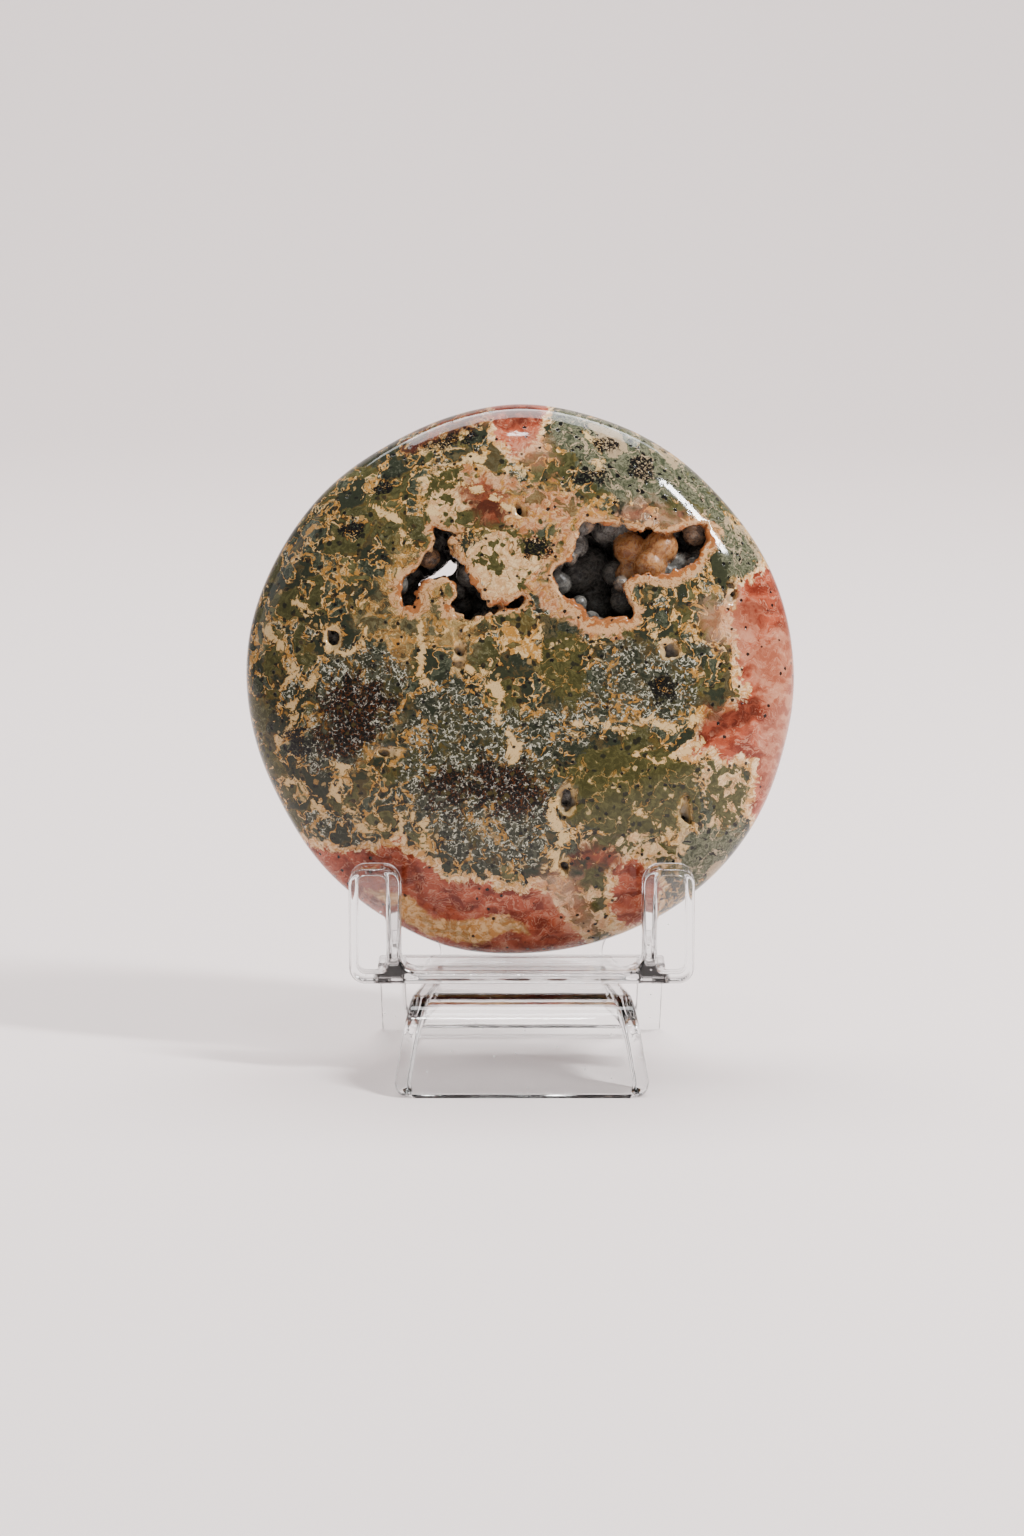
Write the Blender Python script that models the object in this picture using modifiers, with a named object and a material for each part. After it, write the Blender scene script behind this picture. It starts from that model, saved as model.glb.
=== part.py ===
"""A round rhodochrosite palm stone, standing in a clear two-piece moulded easel.

Metres, +Z up, the stone's better face towards -Y. Lengths below are in millimetres until they
are multiplied by MM. The stand is laid out from the front edge of its foot, at y = 0 on the floor,
and one empty moves everything so that the origin is under the middle of the object.
"""

import math

import bmesh
import bpy
from mathutils import Matrix, Vector

MM = 0.001

# The stone: a lens turned about Y, which leans back on the stand
STONE_RADIUS = 34.75
STONE_HALF_THICKNESS = 10.0
STONE_POWER = 2.6
STONE_LEAN = 10.0
STONE_CENTRE = (0.0, 28.1, 47.65)
STONE_AROUND = 84
STONE_RINGS = 22
# Hand grinding left shallow flats and swells round the rim: at degrees, width in degrees, millimetres
RIM_SWELLS = (
    (90, 12, 0.4),
    (172, 16, 0.4),
    (255, 12, 0.45),
    (208, 12, -0.35),
    (120, 11, -0.3),
    (42, 14, -0.35),
    (318, 14, 0.15),
    (345, 9, -0.2),
)

# Hollows in the stone's face: outlines in millimetres right of and above the stone's centre
RIGHT_MOUTH = (
    (3.8, 13.3), (5.3, 10.5), (7.7, 8.7), (8.8, 7.7), (12.2, 7.6), (13.9, 8.0), (13.2, 10.2),
    (12.7, 11.8), (13.9, 12.6), (17.0, 13.1), (19.4, 13.5), (21.7, 14.7), (23.1, 16.8),
    (23.9, 18.3), (22.9, 19.5), (20.8, 19.2), (19.0, 18.3), (15.9, 18.7), (13.6, 19.0),
    (10.7, 19.3), (8.1, 19.6), (7.0, 18.4), (6.4, 15.9), (5.2, 14.1),
)
RIGHT_FLOOR = -4.5
LEFT_MOUTH = (
    (-10.9, 19.0), (-9.6, 18.5), (-8.5, 18.1), (-9.2, 16.7), (-7.8, 14.8), (-6.9, 13.3),
    (-5.4, 10.8), (-3.9, 9.1), (-1.5, 9.5), (0.1, 10.1), (-0.5, 8.8), (-3.1, 8.6), (-4.9, 7.5),
    (-7.6, 7.8), (-8.9, 9.2), (-8.2, 11.0), (-9.4, 12.6), (-11.2, 12.8), (-12.9, 11.3),
    (-13.3, 8.7), (-14.7, 9.4), (-15.2, 11.5), (-13.9, 13.5), (-11.8, 15.6), (-11.1, 17.3),
)
LEFT_FLOOR = -3.5
LEFT_THROUGH = (
    (-9.7, 18.4), (-9.1, 17.7), (-9.2, 16.0), (-8.1, 14.9), (-9.0, 13.4), (-10.0, 12.9),
    (-12.3, 12.1), (-13.7, 12.2), (-12.5, 13.4), (-10.6, 14.3), (-9.6, 15.9),
)

# Grape-like lumps on the hollows' walls: right, up and towards the front, and radius
RIGHT_LUMPS = (
    (7.0, 16.9, 4.2, 1.5),
    (6.9, 13.4, -1.8, 2.6),
    (8.6, 14.0, -3.6, 3.4),
    (9.4, 9.4, -3.2, 2.6),
    (11.9, 13.6, 0.8, 1.7),
    (12.9, 9.9, 2.4, 1.7),
    (13.4, 13.4, 3.0, 1.5),
    (12.9, 18.9, 2.0, 2.0),
    (13.7, 16.6, 3.2, 2.1),
    (16.2, 14.4, 4.4, 2.1),
    (17.6, 16.7, 4.0, 2.2),
    (20.2, 14.2, 1.6, 2.2),
    (22.0, 18.6, 2.6, 1.7),
    (16.4, 13.0, 1.4, 2.2),
    (10.4, 19.0, 1.6, 1.7),
    (4.9, 12.2, 2.6, 1.5),
    (7.0, 9.2, 2.2, 1.2),
)
LEFT_LUMPS = (
    (-12.0, 16.2, 3.0, 1.7),
    (-11.0, 18.2, 1.2, 1.5),
    (-14.6, 12.6, 1.0, 1.6),
    (-14.3, 9.8, 1.4, 1.4),
    (-10.6, 11.4, 3.0, 1.9),
    (-6.6, 11.9, -1.8, 1.7),
    (-5.6, 9.4, -1.4, 2.0),
    (-3.6, 9.0, -0.6, 1.6),
    (-7.6, 9.6, 0.4, 1.6),
)
# Small open pits in the polished face: right, up, width, height, depth
FACE_PITS = (
    (-0.3, 21.0, 1.5, 1.4, 2.4),
    (-23.7, 5.1, 2.0, 3.0, 2.6),
    (18.6, 3.4, 2.4, 1.9, 2.0),
    (26.5, 10.7, 0.9, 2.6, 2.0),
    (-7.8, 2.8, 1.2, 3.4, 1.4),
    (5.7, -15.3, 2.2, 3.6, 1.8),
    (20.5, -17.1, 1.4, 3.6, 1.6),
    (5.4, -23.6, 1.0, 2.0, 1.4),
    (-16.6, -9.2, 2.6, 0.9, 1.4),
)

# The cradle: front arms with hollow backs, the ledge, and rear legs with a bar at the floor
CRADLE_SHEET = 1.4
LEDGE_MIDDLE = 12.3
CRADLE_FRONT = 12.0
LEDGE_INSIDE_ARMS = 1.0
ARM_DEPTH = 4.6
ARM_TOP = 26.3
ARM_INNER = 15.2
ARM_OUTER = 21.6
ARM_CORNER = 2.0
NOTCH_CORNER = 2.4
ARM_PANEL = 1.2
ARM_INNER_RIM = 1.5
ARM_OUTER_RIM = 0.95
POCKET_CORNER = 1.1
POCKET_DEPTH = 5.0
LEG_HALF_WIDTH = 18.2
LEG_INNER = 14.9
LEG_CORNER = (24.5, LEDGE_MIDDLE)
LEG_CORNER_RADIUS = 5.0
LEG_FOOT = (36.8, 0.0)
WINDOW_FRONT = 23.5
WINDOW_DEPTH = 20.0
WINDOW_TOP = 20.0
WINDOW_CORNER = 2.0
FOOT_BAR_HEIGHT = 2.5
# The web behind each arm's inner rim, which the stone leans on: y and z down its curved back edge
WEB_BACK = ((16.6, 24.4), (17.1, 22.2), (17.9, 20.0), (19.2, 17.6), (20.5, 15.6), (22.0, 13.0))
WEB_FRONT = 14.0
WEB_UNDER = 12.2

# The front foot and back rest: one bent sheet, with ribs under its side edges
FOOT_SHEET = 1.6
FOOT_PATH = ((0.8, 0.0), (5.0, 10.35), (28.5, 10.35), (38.8, 38.6))
FOOT_RADII = (6.5, 7.0)
FOOT_HALF_WIDTH = 15.9
FOOT_TAPER = 0.165
FOOT_CORNER = 2.2
REST_HALF_WIDTH = 14.0
REST_WIDENS = (33.0, 42.0)
REST_CORNER = 3.0
REST_NOTCH_HALF = 8.0
REST_NOTCH_LENGTH = 22.0
RIB_WIDTH = 1.5
RIB_DEPTH = 3.2
RIB_STARTS = 1.4
RIB_FADES = (11.0, 25.0)
RIB_ROOT = 0.6
# Stations along the foot's path: close at its two ends, where its corners are round, and wide between
STATION_STEPS = (0.35, 3.0)
STATION_CLOSE = 3.6

# Slanting feet are made this much too long, and cut off flat at the floor by a slab: Y, Z and size
BELOW_FLOOR = 1.0
FLOOR_SLAB_MIDDLE = (20.0, -5.0)
FLOOR_SLAB_SIZE = (80.0, 80.0, 10.0)
# Cutters reach this far past the faces that they cut through
CUT_BEYOND = 2.0
NOTCH_CUT = 3.0
# A joined piece stays this far inside a face that it would otherwise share
WEB_INSET = 0.03
RIB_INSET = 0.05


def clear_scene():
    """Remove the start-up objects."""
    for thing in list(bpy.data.objects):
        bpy.data.objects.remove(thing, do_unlink=True)


def new_collection(name):
    group = bpy.data.collections.new(name)
    bpy.context.scene.collection.children.link(group)
    return group


def plain_material(name, colour, roughness, clear=0.0):
    """A Principled material, see-through when clear is 1."""
    material = bpy.data.materials.new(name)
    material.use_nodes = True
    shader = material.node_tree.nodes["Principled BSDF"]
    shader.inputs["Base Color"].default_value = (*colour, 1.0)
    shader.inputs["Roughness"].default_value = roughness
    shader.inputs["Metallic"].default_value = 0.0
    shader.inputs["Transmission Weight"].default_value = clear
    shader.inputs["IOR"].default_value = 1.49 if clear else 1.55
    return material


def object_of(name, mesh, group, matrix=None):
    """Link a mesh as an object; a member of the cutters is drawn as wire and left out of renders."""
    thing = bpy.data.objects.new(name, mesh)
    group.objects.link(thing)
    if matrix is not None:
        thing.matrix_world = matrix
    if group.name == "cutters":
        thing.hide_render = True
        thing.display_type = "WIRE"
    return thing


def from_bmesh(name, shape, group, matrix=None):
    mesh = bpy.data.meshes.new(name)
    bmesh.ops.recalc_face_normals(shape, faces=shape.faces)
    shape.to_mesh(mesh)
    shape.free()
    return object_of(name, mesh, group, matrix)


def plate(name, outline, half_thickness, group, matrix, smooth=False):
    """A flat closed outline as a solid plate, made as a filled 2D curve and turned into a mesh."""
    curve = bpy.data.curves.new(name, "CURVE")
    curve.dimensions = "2D"
    curve.fill_mode = "BOTH"
    curve.extrude = half_thickness * MM
    curve.resolution_u = 2
    spline = curve.splines.new("BEZIER" if smooth else "POLY")
    points = spline.bezier_points if smooth else spline.points
    points.add(len(outline) - 1)
    for point, (across, up) in zip(points, outline):
        if smooth:
            point.co = (across * MM, up * MM, 0.0)
            point.handle_left_type = point.handle_right_type = "AUTO"
        else:
            point.co = (across * MM, up * MM, 0.0, 1.0)
    spline.use_cyclic_u = True
    drawn = bpy.data.objects.new(name, curve)
    bpy.context.scene.collection.objects.link(drawn)
    drawn.matrix_world = matrix
    bpy.context.view_layer.update()
    mesh = bpy.data.meshes.new_from_object(drawn.evaluated_get(bpy.context.evaluated_depsgraph_get()))
    bpy.data.objects.remove(drawn, do_unlink=True)
    shape = bmesh.new()
    shape.from_mesh(mesh)
    bpy.data.meshes.remove(mesh)
    bmesh.ops.remove_doubles(shape, verts=shape.verts, dist=0.001 * MM)
    return from_bmesh(name, shape, group, matrix)


def boolean(target, tool, operation):
    """Join or cut target with tool, which stays as a hidden object."""
    modifier = target.modifiers.new(tool.name, "BOOLEAN")
    modifier.operation = operation
    modifier.solver = "EXACT"
    modifier.object = tool


def arc(centre, radius, start, end, steps=6):
    """Points of an arc in degrees, counted from the first axis."""
    turns = [math.radians(start + (end - start) * i / steps) for i in range(steps + 1)]
    return [(centre[0] + radius * math.cos(a), centre[1] + radius * math.sin(a)) for a in turns]


def rounded_box(left, right, bottom, top, radius):
    """A rectangle with round corners, anticlockwise."""
    return (
        arc((right - radius, bottom + radius), radius, -90, 0)
        + arc((right - radius, top - radius), radius, 0, 90)
        + arc((left + radius, top - radius), radius, 90, 180)
        + arc((left + radius, bottom + radius), radius, 180, 270)
    )


def rounded_path(corners, radii, steps=8):
    """A path through corners, with an arc of the given radius at each inner one."""
    path = [Vector(corners[0])]
    for before, corner, after, radius in zip(corners, corners[1:], corners[2:], radii):
        corner = Vector(corner)
        back = (Vector(before) - corner).normalized()
        ahead = (Vector(after) - corner).normalized()
        half = back.angle(ahead) / 2
        centre = corner + (back + ahead).normalized() * radius / math.sin(half)
        first = corner + back * radius / math.tan(half) - centre
        last = corner + ahead * radius / math.tan(half) - centre
        turn = math.pi - 2 * half
        for i in range(steps + 1):
            share = i / steps
            weights = math.sin((1 - share) * turn), math.sin(share * turn)
            path.append(centre + (first * weights[0] + last * weights[1]) / math.sin(turn))
    path.append(Vector(corners[-1]))
    return path


def normals_of(path):
    """At each point of a path, the unit vector to its left, lengthened to keep a sheet's thickness."""
    found = []
    for i, point in enumerate(path):
        before = (point - path[i - 1]).normalized() if i else (path[1] - point).normalized()
        after = (path[i + 1] - point).normalized() if i + 1 < len(path) else before
        along = (before + after).normalized()
        found.append(Vector((-along.y, along.x)) / along.dot(before))
    return found


# Frames that lay an outline across Y (as seen from the front) or across X (as seen from the side)
def across_y(middle):
    return Matrix.Translation((0, middle * MM, 0)) @ Matrix.Rotation(math.radians(90), 4, "X")


def across_x(middle):
    turned = Matrix(((0, 0, 1, 0), (1, 0, 0, 0), (0, 1, 0, 0), (0, 0, 0, 1)))
    return Matrix.Translation((middle * MM, 0, 0)) @ turned


def stone_radius(angle):
    """The stone's radius in a direction, with the flats and swells of its ground rim."""
    radius = STONE_RADIUS
    for middle, width, height in RIM_SWELLS:
        away = (math.degrees(angle) - middle + 180) % 360 - 180
        radius += height * math.exp(-((away / width) ** 2))
    return radius


def stone_height(radius, angle):
    """Half the stone's thickness at a distance from its axis."""
    share = min(radius / stone_radius(angle), 1.0)
    return STONE_HALF_THICKNESS * math.sqrt(1 - share**STONE_POWER)


def stone_frame():
    """The stone's own frame: X right, Z up its face, and -Y out of its better face."""
    place = Matrix.Translation([value * MM for value in STONE_CENTRE])
    return place @ Matrix.Rotation(math.radians(-STONE_LEAN), 4, "X")


def lens_blank(group):
    """The polished lens before its hollows: a sphere's points moved to the turned profile."""
    shape = bmesh.new()
    bmesh.ops.create_uvsphere(shape, u_segments=STONE_AROUND, v_segments=STONE_RINGS, radius=1.0)
    for vertex in shape.verts:
        share = min(math.hypot(vertex.co.x, vertex.co.y), 1.0)
        angle = math.atan2(vertex.co.y, vertex.co.x)
        radius = stone_radius(angle) * share
        height = math.copysign(STONE_HALF_THICKNESS * math.sqrt(1 - share**STONE_POWER), vertex.co.z)
        place = (radius * math.cos(angle), -height, radius * math.sin(angle))
        vertex.co = Vector(place) * MM
    return from_bmesh("palm_stone", shape, group, stone_frame())


def ball(name, centre, radii, group):
    """A coarse ball in the stone's frame: centre as right, up and towards the front."""
    shape = bmesh.new()
    bmesh.ops.create_icosphere(shape, subdivisions=2, radius=1.0)
    across, up, front = centre
    size = Matrix.Diagonal((radii[0] * MM, radii[1] * MM, radii[2] * MM, 1.0))
    shift = Matrix.Translation((across * MM, -front * MM, up * MM))
    bmesh.ops.transform(shape, matrix=shift @ size, verts=shape.verts)
    return from_bmesh(name, shape, group, stone_frame())


def face_cutter(name, outline, back, front, group):
    """An outline on the stone's face, cut from front to back along the stone's axis."""
    middle = (back + front) / 2
    frame = stone_frame() @ across_y(-middle)
    return plate(name, outline, (front - back) / 2, group, frame, smooth=True)


def palm_stone(group, tools):
    stone = lens_blank(group)
    beyond = STONE_HALF_THICKNESS + CUT_BEYOND
    hollows = (
        face_cutter("right_hollow", RIGHT_MOUTH, RIGHT_FLOOR, beyond, tools),
        face_cutter("left_hollow", LEFT_MOUTH, LEFT_FLOOR, beyond, tools),
        face_cutter("left_through", LEFT_THROUGH, -beyond, beyond, tools),
    )
    boolean(stone, hollows[0], "DIFFERENCE")
    boolean(stone, hollows[1], "DIFFERENCE")
    for i, (across, up, front, radius) in enumerate(RIGHT_LUMPS + LEFT_LUMPS):
        lump = ball(f"lump_{i + 1}", (across, up, front), (radius, radius, radius), tools)
        boolean(stone, lump, "UNION")
    boolean(stone, hollows[2], "DIFFERENCE")
    for i, (across, up, width, height, depth) in enumerate(FACE_PITS):
        surface = stone_height(math.hypot(across, up), math.atan2(up, across))
        pit = ball(f"pit_{i + 1}", (across, up, surface), (width / 2, depth, height / 2), tools)
        boolean(stone, pit, "DIFFERENCE")
    return stone


def bent_profile(path, thickness):
    """The outline of a sheet seen edge on: its path moved half a thickness to each side."""
    normals = normals_of(path)
    left = [point + normal * thickness / 2 for point, normal in zip(path, normals)]
    right = [point - normal * thickness / 2 for point, normal in zip(path, normals)]
    return [tuple(point) for point in left + right[::-1]]


def below_floor(name, group):
    """A slab under the floor, which cuts slanting feet off flat."""
    shape = bmesh.new()
    bmesh.ops.create_cube(shape, size=1.0)
    middle = Matrix.Translation((0, FLOOR_SLAB_MIDDLE[0] * MM, FLOOR_SLAB_MIDDLE[1] * MM))
    size = Matrix.Diagonal((*[value * MM for value in FLOOR_SLAB_SIZE], 1.0))
    bmesh.ops.transform(shape, matrix=middle @ size, verts=shape.verts)
    return from_bmesh(name, shape, group)


def stand_cradle(group, tools):
    start = (CRADLE_FRONT + LEDGE_INSIDE_ARMS, LEDGE_MIDDLE)
    slope = (Vector(LEG_FOOT) - Vector(LEG_CORNER)).normalized()
    end = Vector(LEG_FOOT) + slope * 2 * BELOW_FLOOR
    path = rounded_path((start, LEG_CORNER, tuple(end)), (LEG_CORNER_RADIUS,))
    profile = bent_profile(path, CRADLE_SHEET)
    cradle = plate("stand_cradle", profile, LEG_HALF_WIDTH, group, across_x(0))

    # The front of the cradle: both arms and the strip between them, with a deep notch
    ledge_top = LEDGE_MIDDLE + CRADLE_SHEET / 2
    ledge_under = LEDGE_MIDDLE - CRADLE_SHEET / 2
    half = (
        arc((ARM_OUTER - ARM_CORNER, ledge_under + ARM_CORNER), ARM_CORNER, -90, 0)
        + arc((ARM_OUTER - ARM_CORNER, ARM_TOP - ARM_CORNER), ARM_CORNER, 0, 90)
        + arc((ARM_INNER + ARM_CORNER, ARM_TOP - ARM_CORNER), ARM_CORNER, 90, 180)
        + arc((ARM_INNER - NOTCH_CORNER, ledge_top + NOTCH_CORNER), NOTCH_CORNER, 0, -90)
    )
    front = half + [(-across, up) for across, up in reversed(half)]
    middle = CRADLE_FRONT + ARM_DEPTH / 2
    boolean(cradle, plate("arms", front, ARM_DEPTH / 2, tools, across_y(middle)), "UNION")

    # Each arm is a thin front panel with a rim behind it, so its back is a pocket
    pocket_front = CRADLE_FRONT + ARM_PANEL
    for side, sign in (("left", -1), ("right", 1)):
        edges = sorted((sign * (ARM_INNER + ARM_INNER_RIM), sign * (ARM_OUTER - ARM_OUTER_RIM)))
        bottom = ledge_under + POCKET_CORNER
        outline = rounded_box(*edges, bottom, ARM_TOP - ARM_OUTER_RIM, POCKET_CORNER)
        frame = across_y(pocket_front + POCKET_DEPTH / 2)
        boolean(cradle, plate(f"{side}_pocket", outline, POCKET_DEPTH / 2, tools, frame), "DIFFERENCE")
        web = [(WEB_FRONT, WEB_BACK[0][1])] + list(WEB_BACK)
        web += [(WEB_BACK[-1][0], WEB_UNDER), (WEB_FRONT, WEB_UNDER)]
        place = sign * (ARM_INNER + ARM_INNER_RIM / 2)
        rim = plate(f"{side}_web", web, ARM_INNER_RIM / 2 - WEB_INSET, tools, across_x(place))
        boolean(cradle, rim, "UNION")

    # The window between the legs, which the back rest passes through, above the bar at the floor
    opening = rounded_box(-LEG_INNER, LEG_INNER, FOOT_BAR_HEIGHT, WINDOW_TOP, WINDOW_CORNER)
    reach = WINDOW_DEPTH / 2
    window = plate("window", opening, reach, tools, across_y(WINDOW_FRONT + reach))
    boolean(cradle, window, "DIFFERENCE")
    boolean(cradle, below_floor("floor_under_cradle", tools), "DIFFERENCE")
    return cradle


def lengths_of(path):
    """How far along the path each of its points lies."""
    found = [0.0]
    for before, after in zip(path, path[1:]):
        found.append(found[-1] + (after - before).length)
    return found


def restation(path, finest, coarsest):
    """The same path with points close together at its ends, where corners are round."""
    lengths = lengths_of(path)
    end = lengths[-1]
    wanted = list(lengths)
    along = 0.0
    while along < end:
        wanted.append(along)
        from_end = min(along, end - along)
        along += finest if from_end < STATION_CLOSE else coarsest
    stations = [0.0]
    for value in sorted(wanted):
        if value - stations[-1] > finest / 2:
            stations.append(value)
    stations[-1] = end
    found = []
    for value in stations:
        i = max(1, min(sum(1 for length in lengths if length < value), len(lengths) - 1))
        share = (value - lengths[i - 1]) / (lengths[i] - lengths[i - 1])
        found.append(path[i - 1].lerp(path[i], share))
    return found


def foot_half_width(along, end):
    """The sheet's half width: it tapers up from the foot, then widens to the back rest."""
    width = FOOT_HALF_WIDTH - FOOT_TAPER * along
    if along < FOOT_CORNER:
        width -= FOOT_CORNER - math.sqrt(FOOT_CORNER**2 - (FOOT_CORNER - max(along, 0.0)) ** 2)
    share = min(max((along - REST_WIDENS[0]) / (REST_WIDENS[1] - REST_WIDENS[0]), 0.0), 1.0)
    width += (REST_HALF_WIDTH - width) * share * share * (3 - 2 * share)
    left = end - along
    if left < REST_CORNER:
        width -= REST_CORNER - math.sqrt(REST_CORNER**2 - (REST_CORNER - left) ** 2)
    return width


def bent_sheet(name, path, lengths, thickness, place, group):
    """A grid bent along the path: place gives each point's x and its lift off the path."""
    normals = normals_of(path)
    rows = len(path) - 1
    shape = bmesh.new()
    bmesh.ops.create_grid(shape, x_segments=1, y_segments=rows, size=1.0)
    for vertex in shape.verts:
        row = round((vertex.co.y + 1) / 2 * rows)
        across, lift = place((vertex.co.x + 1) / 2, lengths[row])
        point = path[row] + normals[row] * lift
        vertex.co = Vector((across, point.x, point.y)) * MM
    sheet = from_bmesh(name, shape, group)
    solid = sheet.modifiers.new("thickness", "SOLIDIFY")
    solid.thickness = thickness * MM
    solid.offset = 0.0
    return sheet


def stand_foot_rest(group, tools):
    slope = (Vector(FOOT_PATH[1]) - Vector(FOOT_PATH[0])).normalized()
    start = Vector(FOOT_PATH[0]) - slope * BELOW_FLOOR
    corners = (tuple(start),) + FOOT_PATH[1:]
    path = restation(rounded_path(corners, FOOT_RADII), *STATION_STEPS)
    finish = path[-1]
    rise = (Vector(FOOT_PATH[3]) - Vector(FOOT_PATH[2])).normalized()
    lengths = [value - BELOW_FLOOR for value in lengths_of(path)]
    end = lengths[-1]

    def sheet_place(share, along):
        return (2 * share - 1) * foot_half_width(along, end), 0.0

    sheet = bent_sheet("stand_foot_rest", path, lengths, FOOT_SHEET, sheet_place, group)

    # A rib under each side edge of the foot, which fades to a round end below the ledge
    ribbed = [i for i, along in enumerate(lengths) if RIB_STARTS < along < RIB_FADES[1]]
    rib_path = [path[i] for i in ribbed]
    rib_lengths = [lengths[i] for i in ribbed]
    for side, sign in (("left", -1), ("right", 1)):
        def rib_place(share, along, sign=sign):
            fade = min(max((along - RIB_FADES[0]) / (RIB_FADES[1] - RIB_FADES[0]), 0.0), 1.0)
            depth = (RIB_DEPTH - FOOT_SHEET / 2) * math.sqrt(1 - fade**2)
            centre = foot_half_width(along, end) - RIB_WIDTH / 2 - RIB_INSET
            return sign * centre, RIB_ROOT - share * (RIB_ROOT + depth)

        rib = bent_sheet(f"{side}_rib", rib_path, rib_lengths, RIB_WIDTH, rib_place, tools)
        boolean(sheet, rib, "UNION")

    # The fork of the back rest: a notch from the top, whose mouth rounds off both prongs
    top = REST_NOTCH_LENGTH
    half = (
        arc((REST_NOTCH_HALF - REST_CORNER, REST_CORNER), REST_CORNER, -90, 0)
        + arc((REST_NOTCH_HALF + REST_CORNER, top - REST_CORNER), REST_CORNER, 180, 90)
        + [(REST_NOTCH_HALF + REST_CORNER, top + CUT_BEYOND)]
    )
    notch = half + [(-across, up) for across, up in reversed(half)]
    lean = rise.angle(Vector((0.0, 1.0)))
    base = finish - rise * top
    frame = Matrix.Translation((0, base.x * MM, base.y * MM)) @ Matrix.Rotation(-lean, 4, "X")
    notch_cutter = plate("rest_notch", notch, NOTCH_CUT, tools, frame @ across_y(0))
    boolean(sheet, notch_cutter, "DIFFERENCE")
    boolean(sheet, below_floor("floor_under_foot", tools), "DIFFERENCE")
    return sheet


def depth_of_object():
    """The object's front and back along Y: the foot's lower front edge, and the stone's back."""
    slope = Vector(FOOT_PATH[1]) - Vector(FOOT_PATH[0])
    front = FOOT_PATH[0][0] - FOOT_SHEET / 2 * slope.length / slope.y
    lean = math.radians(STONE_LEAN)
    back = 0.0
    for i in range(401):
        up = STONE_RADIUS * i / 400
        reach = up * math.sin(lean) + stone_height(up, math.radians(90)) * math.cos(lean)
        back = max(back, STONE_CENTRE[1] + reach)
    return front, back


def main():
    clear_scene()
    parts = new_collection("rhodochrosite_palm_stone")
    tools = new_collection("cutters")
    stone = palm_stone(parts, tools)
    cradle = stand_cradle(parts, tools)
    foot = stand_foot_rest(parts, tools)

    stone.data.materials.append(plain_material("polished stone", (0.33, 0.27, 0.16), 0.2))
    clear_plastic = plain_material("clear plastic", (0.96, 0.97, 0.97), 0.05, clear=1.0)
    for thing in (cradle, foot):
        thing.data.materials.append(clear_plastic)
    stone.data.shade_smooth()
    stone.data.set_sharp_from_angle(angle=math.radians(35))

    # Everything hangs from one empty, which puts the origin under the middle of the object
    front, back = depth_of_object()
    root = bpy.data.objects.new("under_the_middle", None)
    parts.objects.link(root)
    for thing in list(parts.objects) + list(tools.objects):
        if thing is not root:
            thing.parent = root
    root.location = (0.0, -(front + back) / 2 * MM, 0.0)
    bpy.context.view_layer.update()


main()
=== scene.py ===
"""A rhodochrosite palm stone in a clear two-piece moulded easel: the finished looks.

Lengths are in millimetres until a mesh is written. The stone is laid out in its own frame, u to the
right, v up its face and w out of its better face, and the stand from the front edge of its foot.
"""

import math

import bpy
import numpy as np
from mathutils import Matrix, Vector


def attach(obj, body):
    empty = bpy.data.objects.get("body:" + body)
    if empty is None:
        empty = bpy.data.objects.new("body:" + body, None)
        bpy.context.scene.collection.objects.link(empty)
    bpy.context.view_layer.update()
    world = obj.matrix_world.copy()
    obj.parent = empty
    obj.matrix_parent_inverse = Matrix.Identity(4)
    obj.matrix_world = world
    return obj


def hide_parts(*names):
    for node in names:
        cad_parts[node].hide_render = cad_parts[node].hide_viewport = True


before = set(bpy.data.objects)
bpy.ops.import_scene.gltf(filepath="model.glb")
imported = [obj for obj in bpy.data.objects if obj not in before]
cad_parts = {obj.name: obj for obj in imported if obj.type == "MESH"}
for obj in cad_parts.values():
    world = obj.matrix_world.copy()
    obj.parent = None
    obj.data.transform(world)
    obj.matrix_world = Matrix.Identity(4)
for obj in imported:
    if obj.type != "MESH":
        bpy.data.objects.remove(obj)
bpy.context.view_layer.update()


# The palm stone: one disc of banded rhodochrosite, sawn out of the rock, ground by hand to a lens
# and polished. Its two deep hollows and the grape-like lumps in them grew in the rock, and so did
# the small pits that the polish left open.

MM = 0.001
STONE_RADIUS = 34.75
HALF_THICKNESS = 10.0
LENS_POWER = 2.6
STONE_CENTRE = np.array((0.0, 8.023, 47.65))
LEAN = math.radians(10.0)
STONE_AXES = np.array((
    (1.0, 0.0, 0.0),
    (0.0, math.sin(LEAN), math.cos(LEAN)),
    (0.0, -math.cos(LEAN), math.sin(LEAN)),
))

# Swells and flats left by grinding: where and how wide in degrees, and how high
RIM_SWELLS = np.array((
    (90, 12, 0.4), (172, 16, 0.4), (255, 12, 0.45), (208, 12, -0.35),
    (120, 11, -0.3), (42, 14, -0.35), (318, 14, 0.15), (345, 9, -0.2),
))

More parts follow.
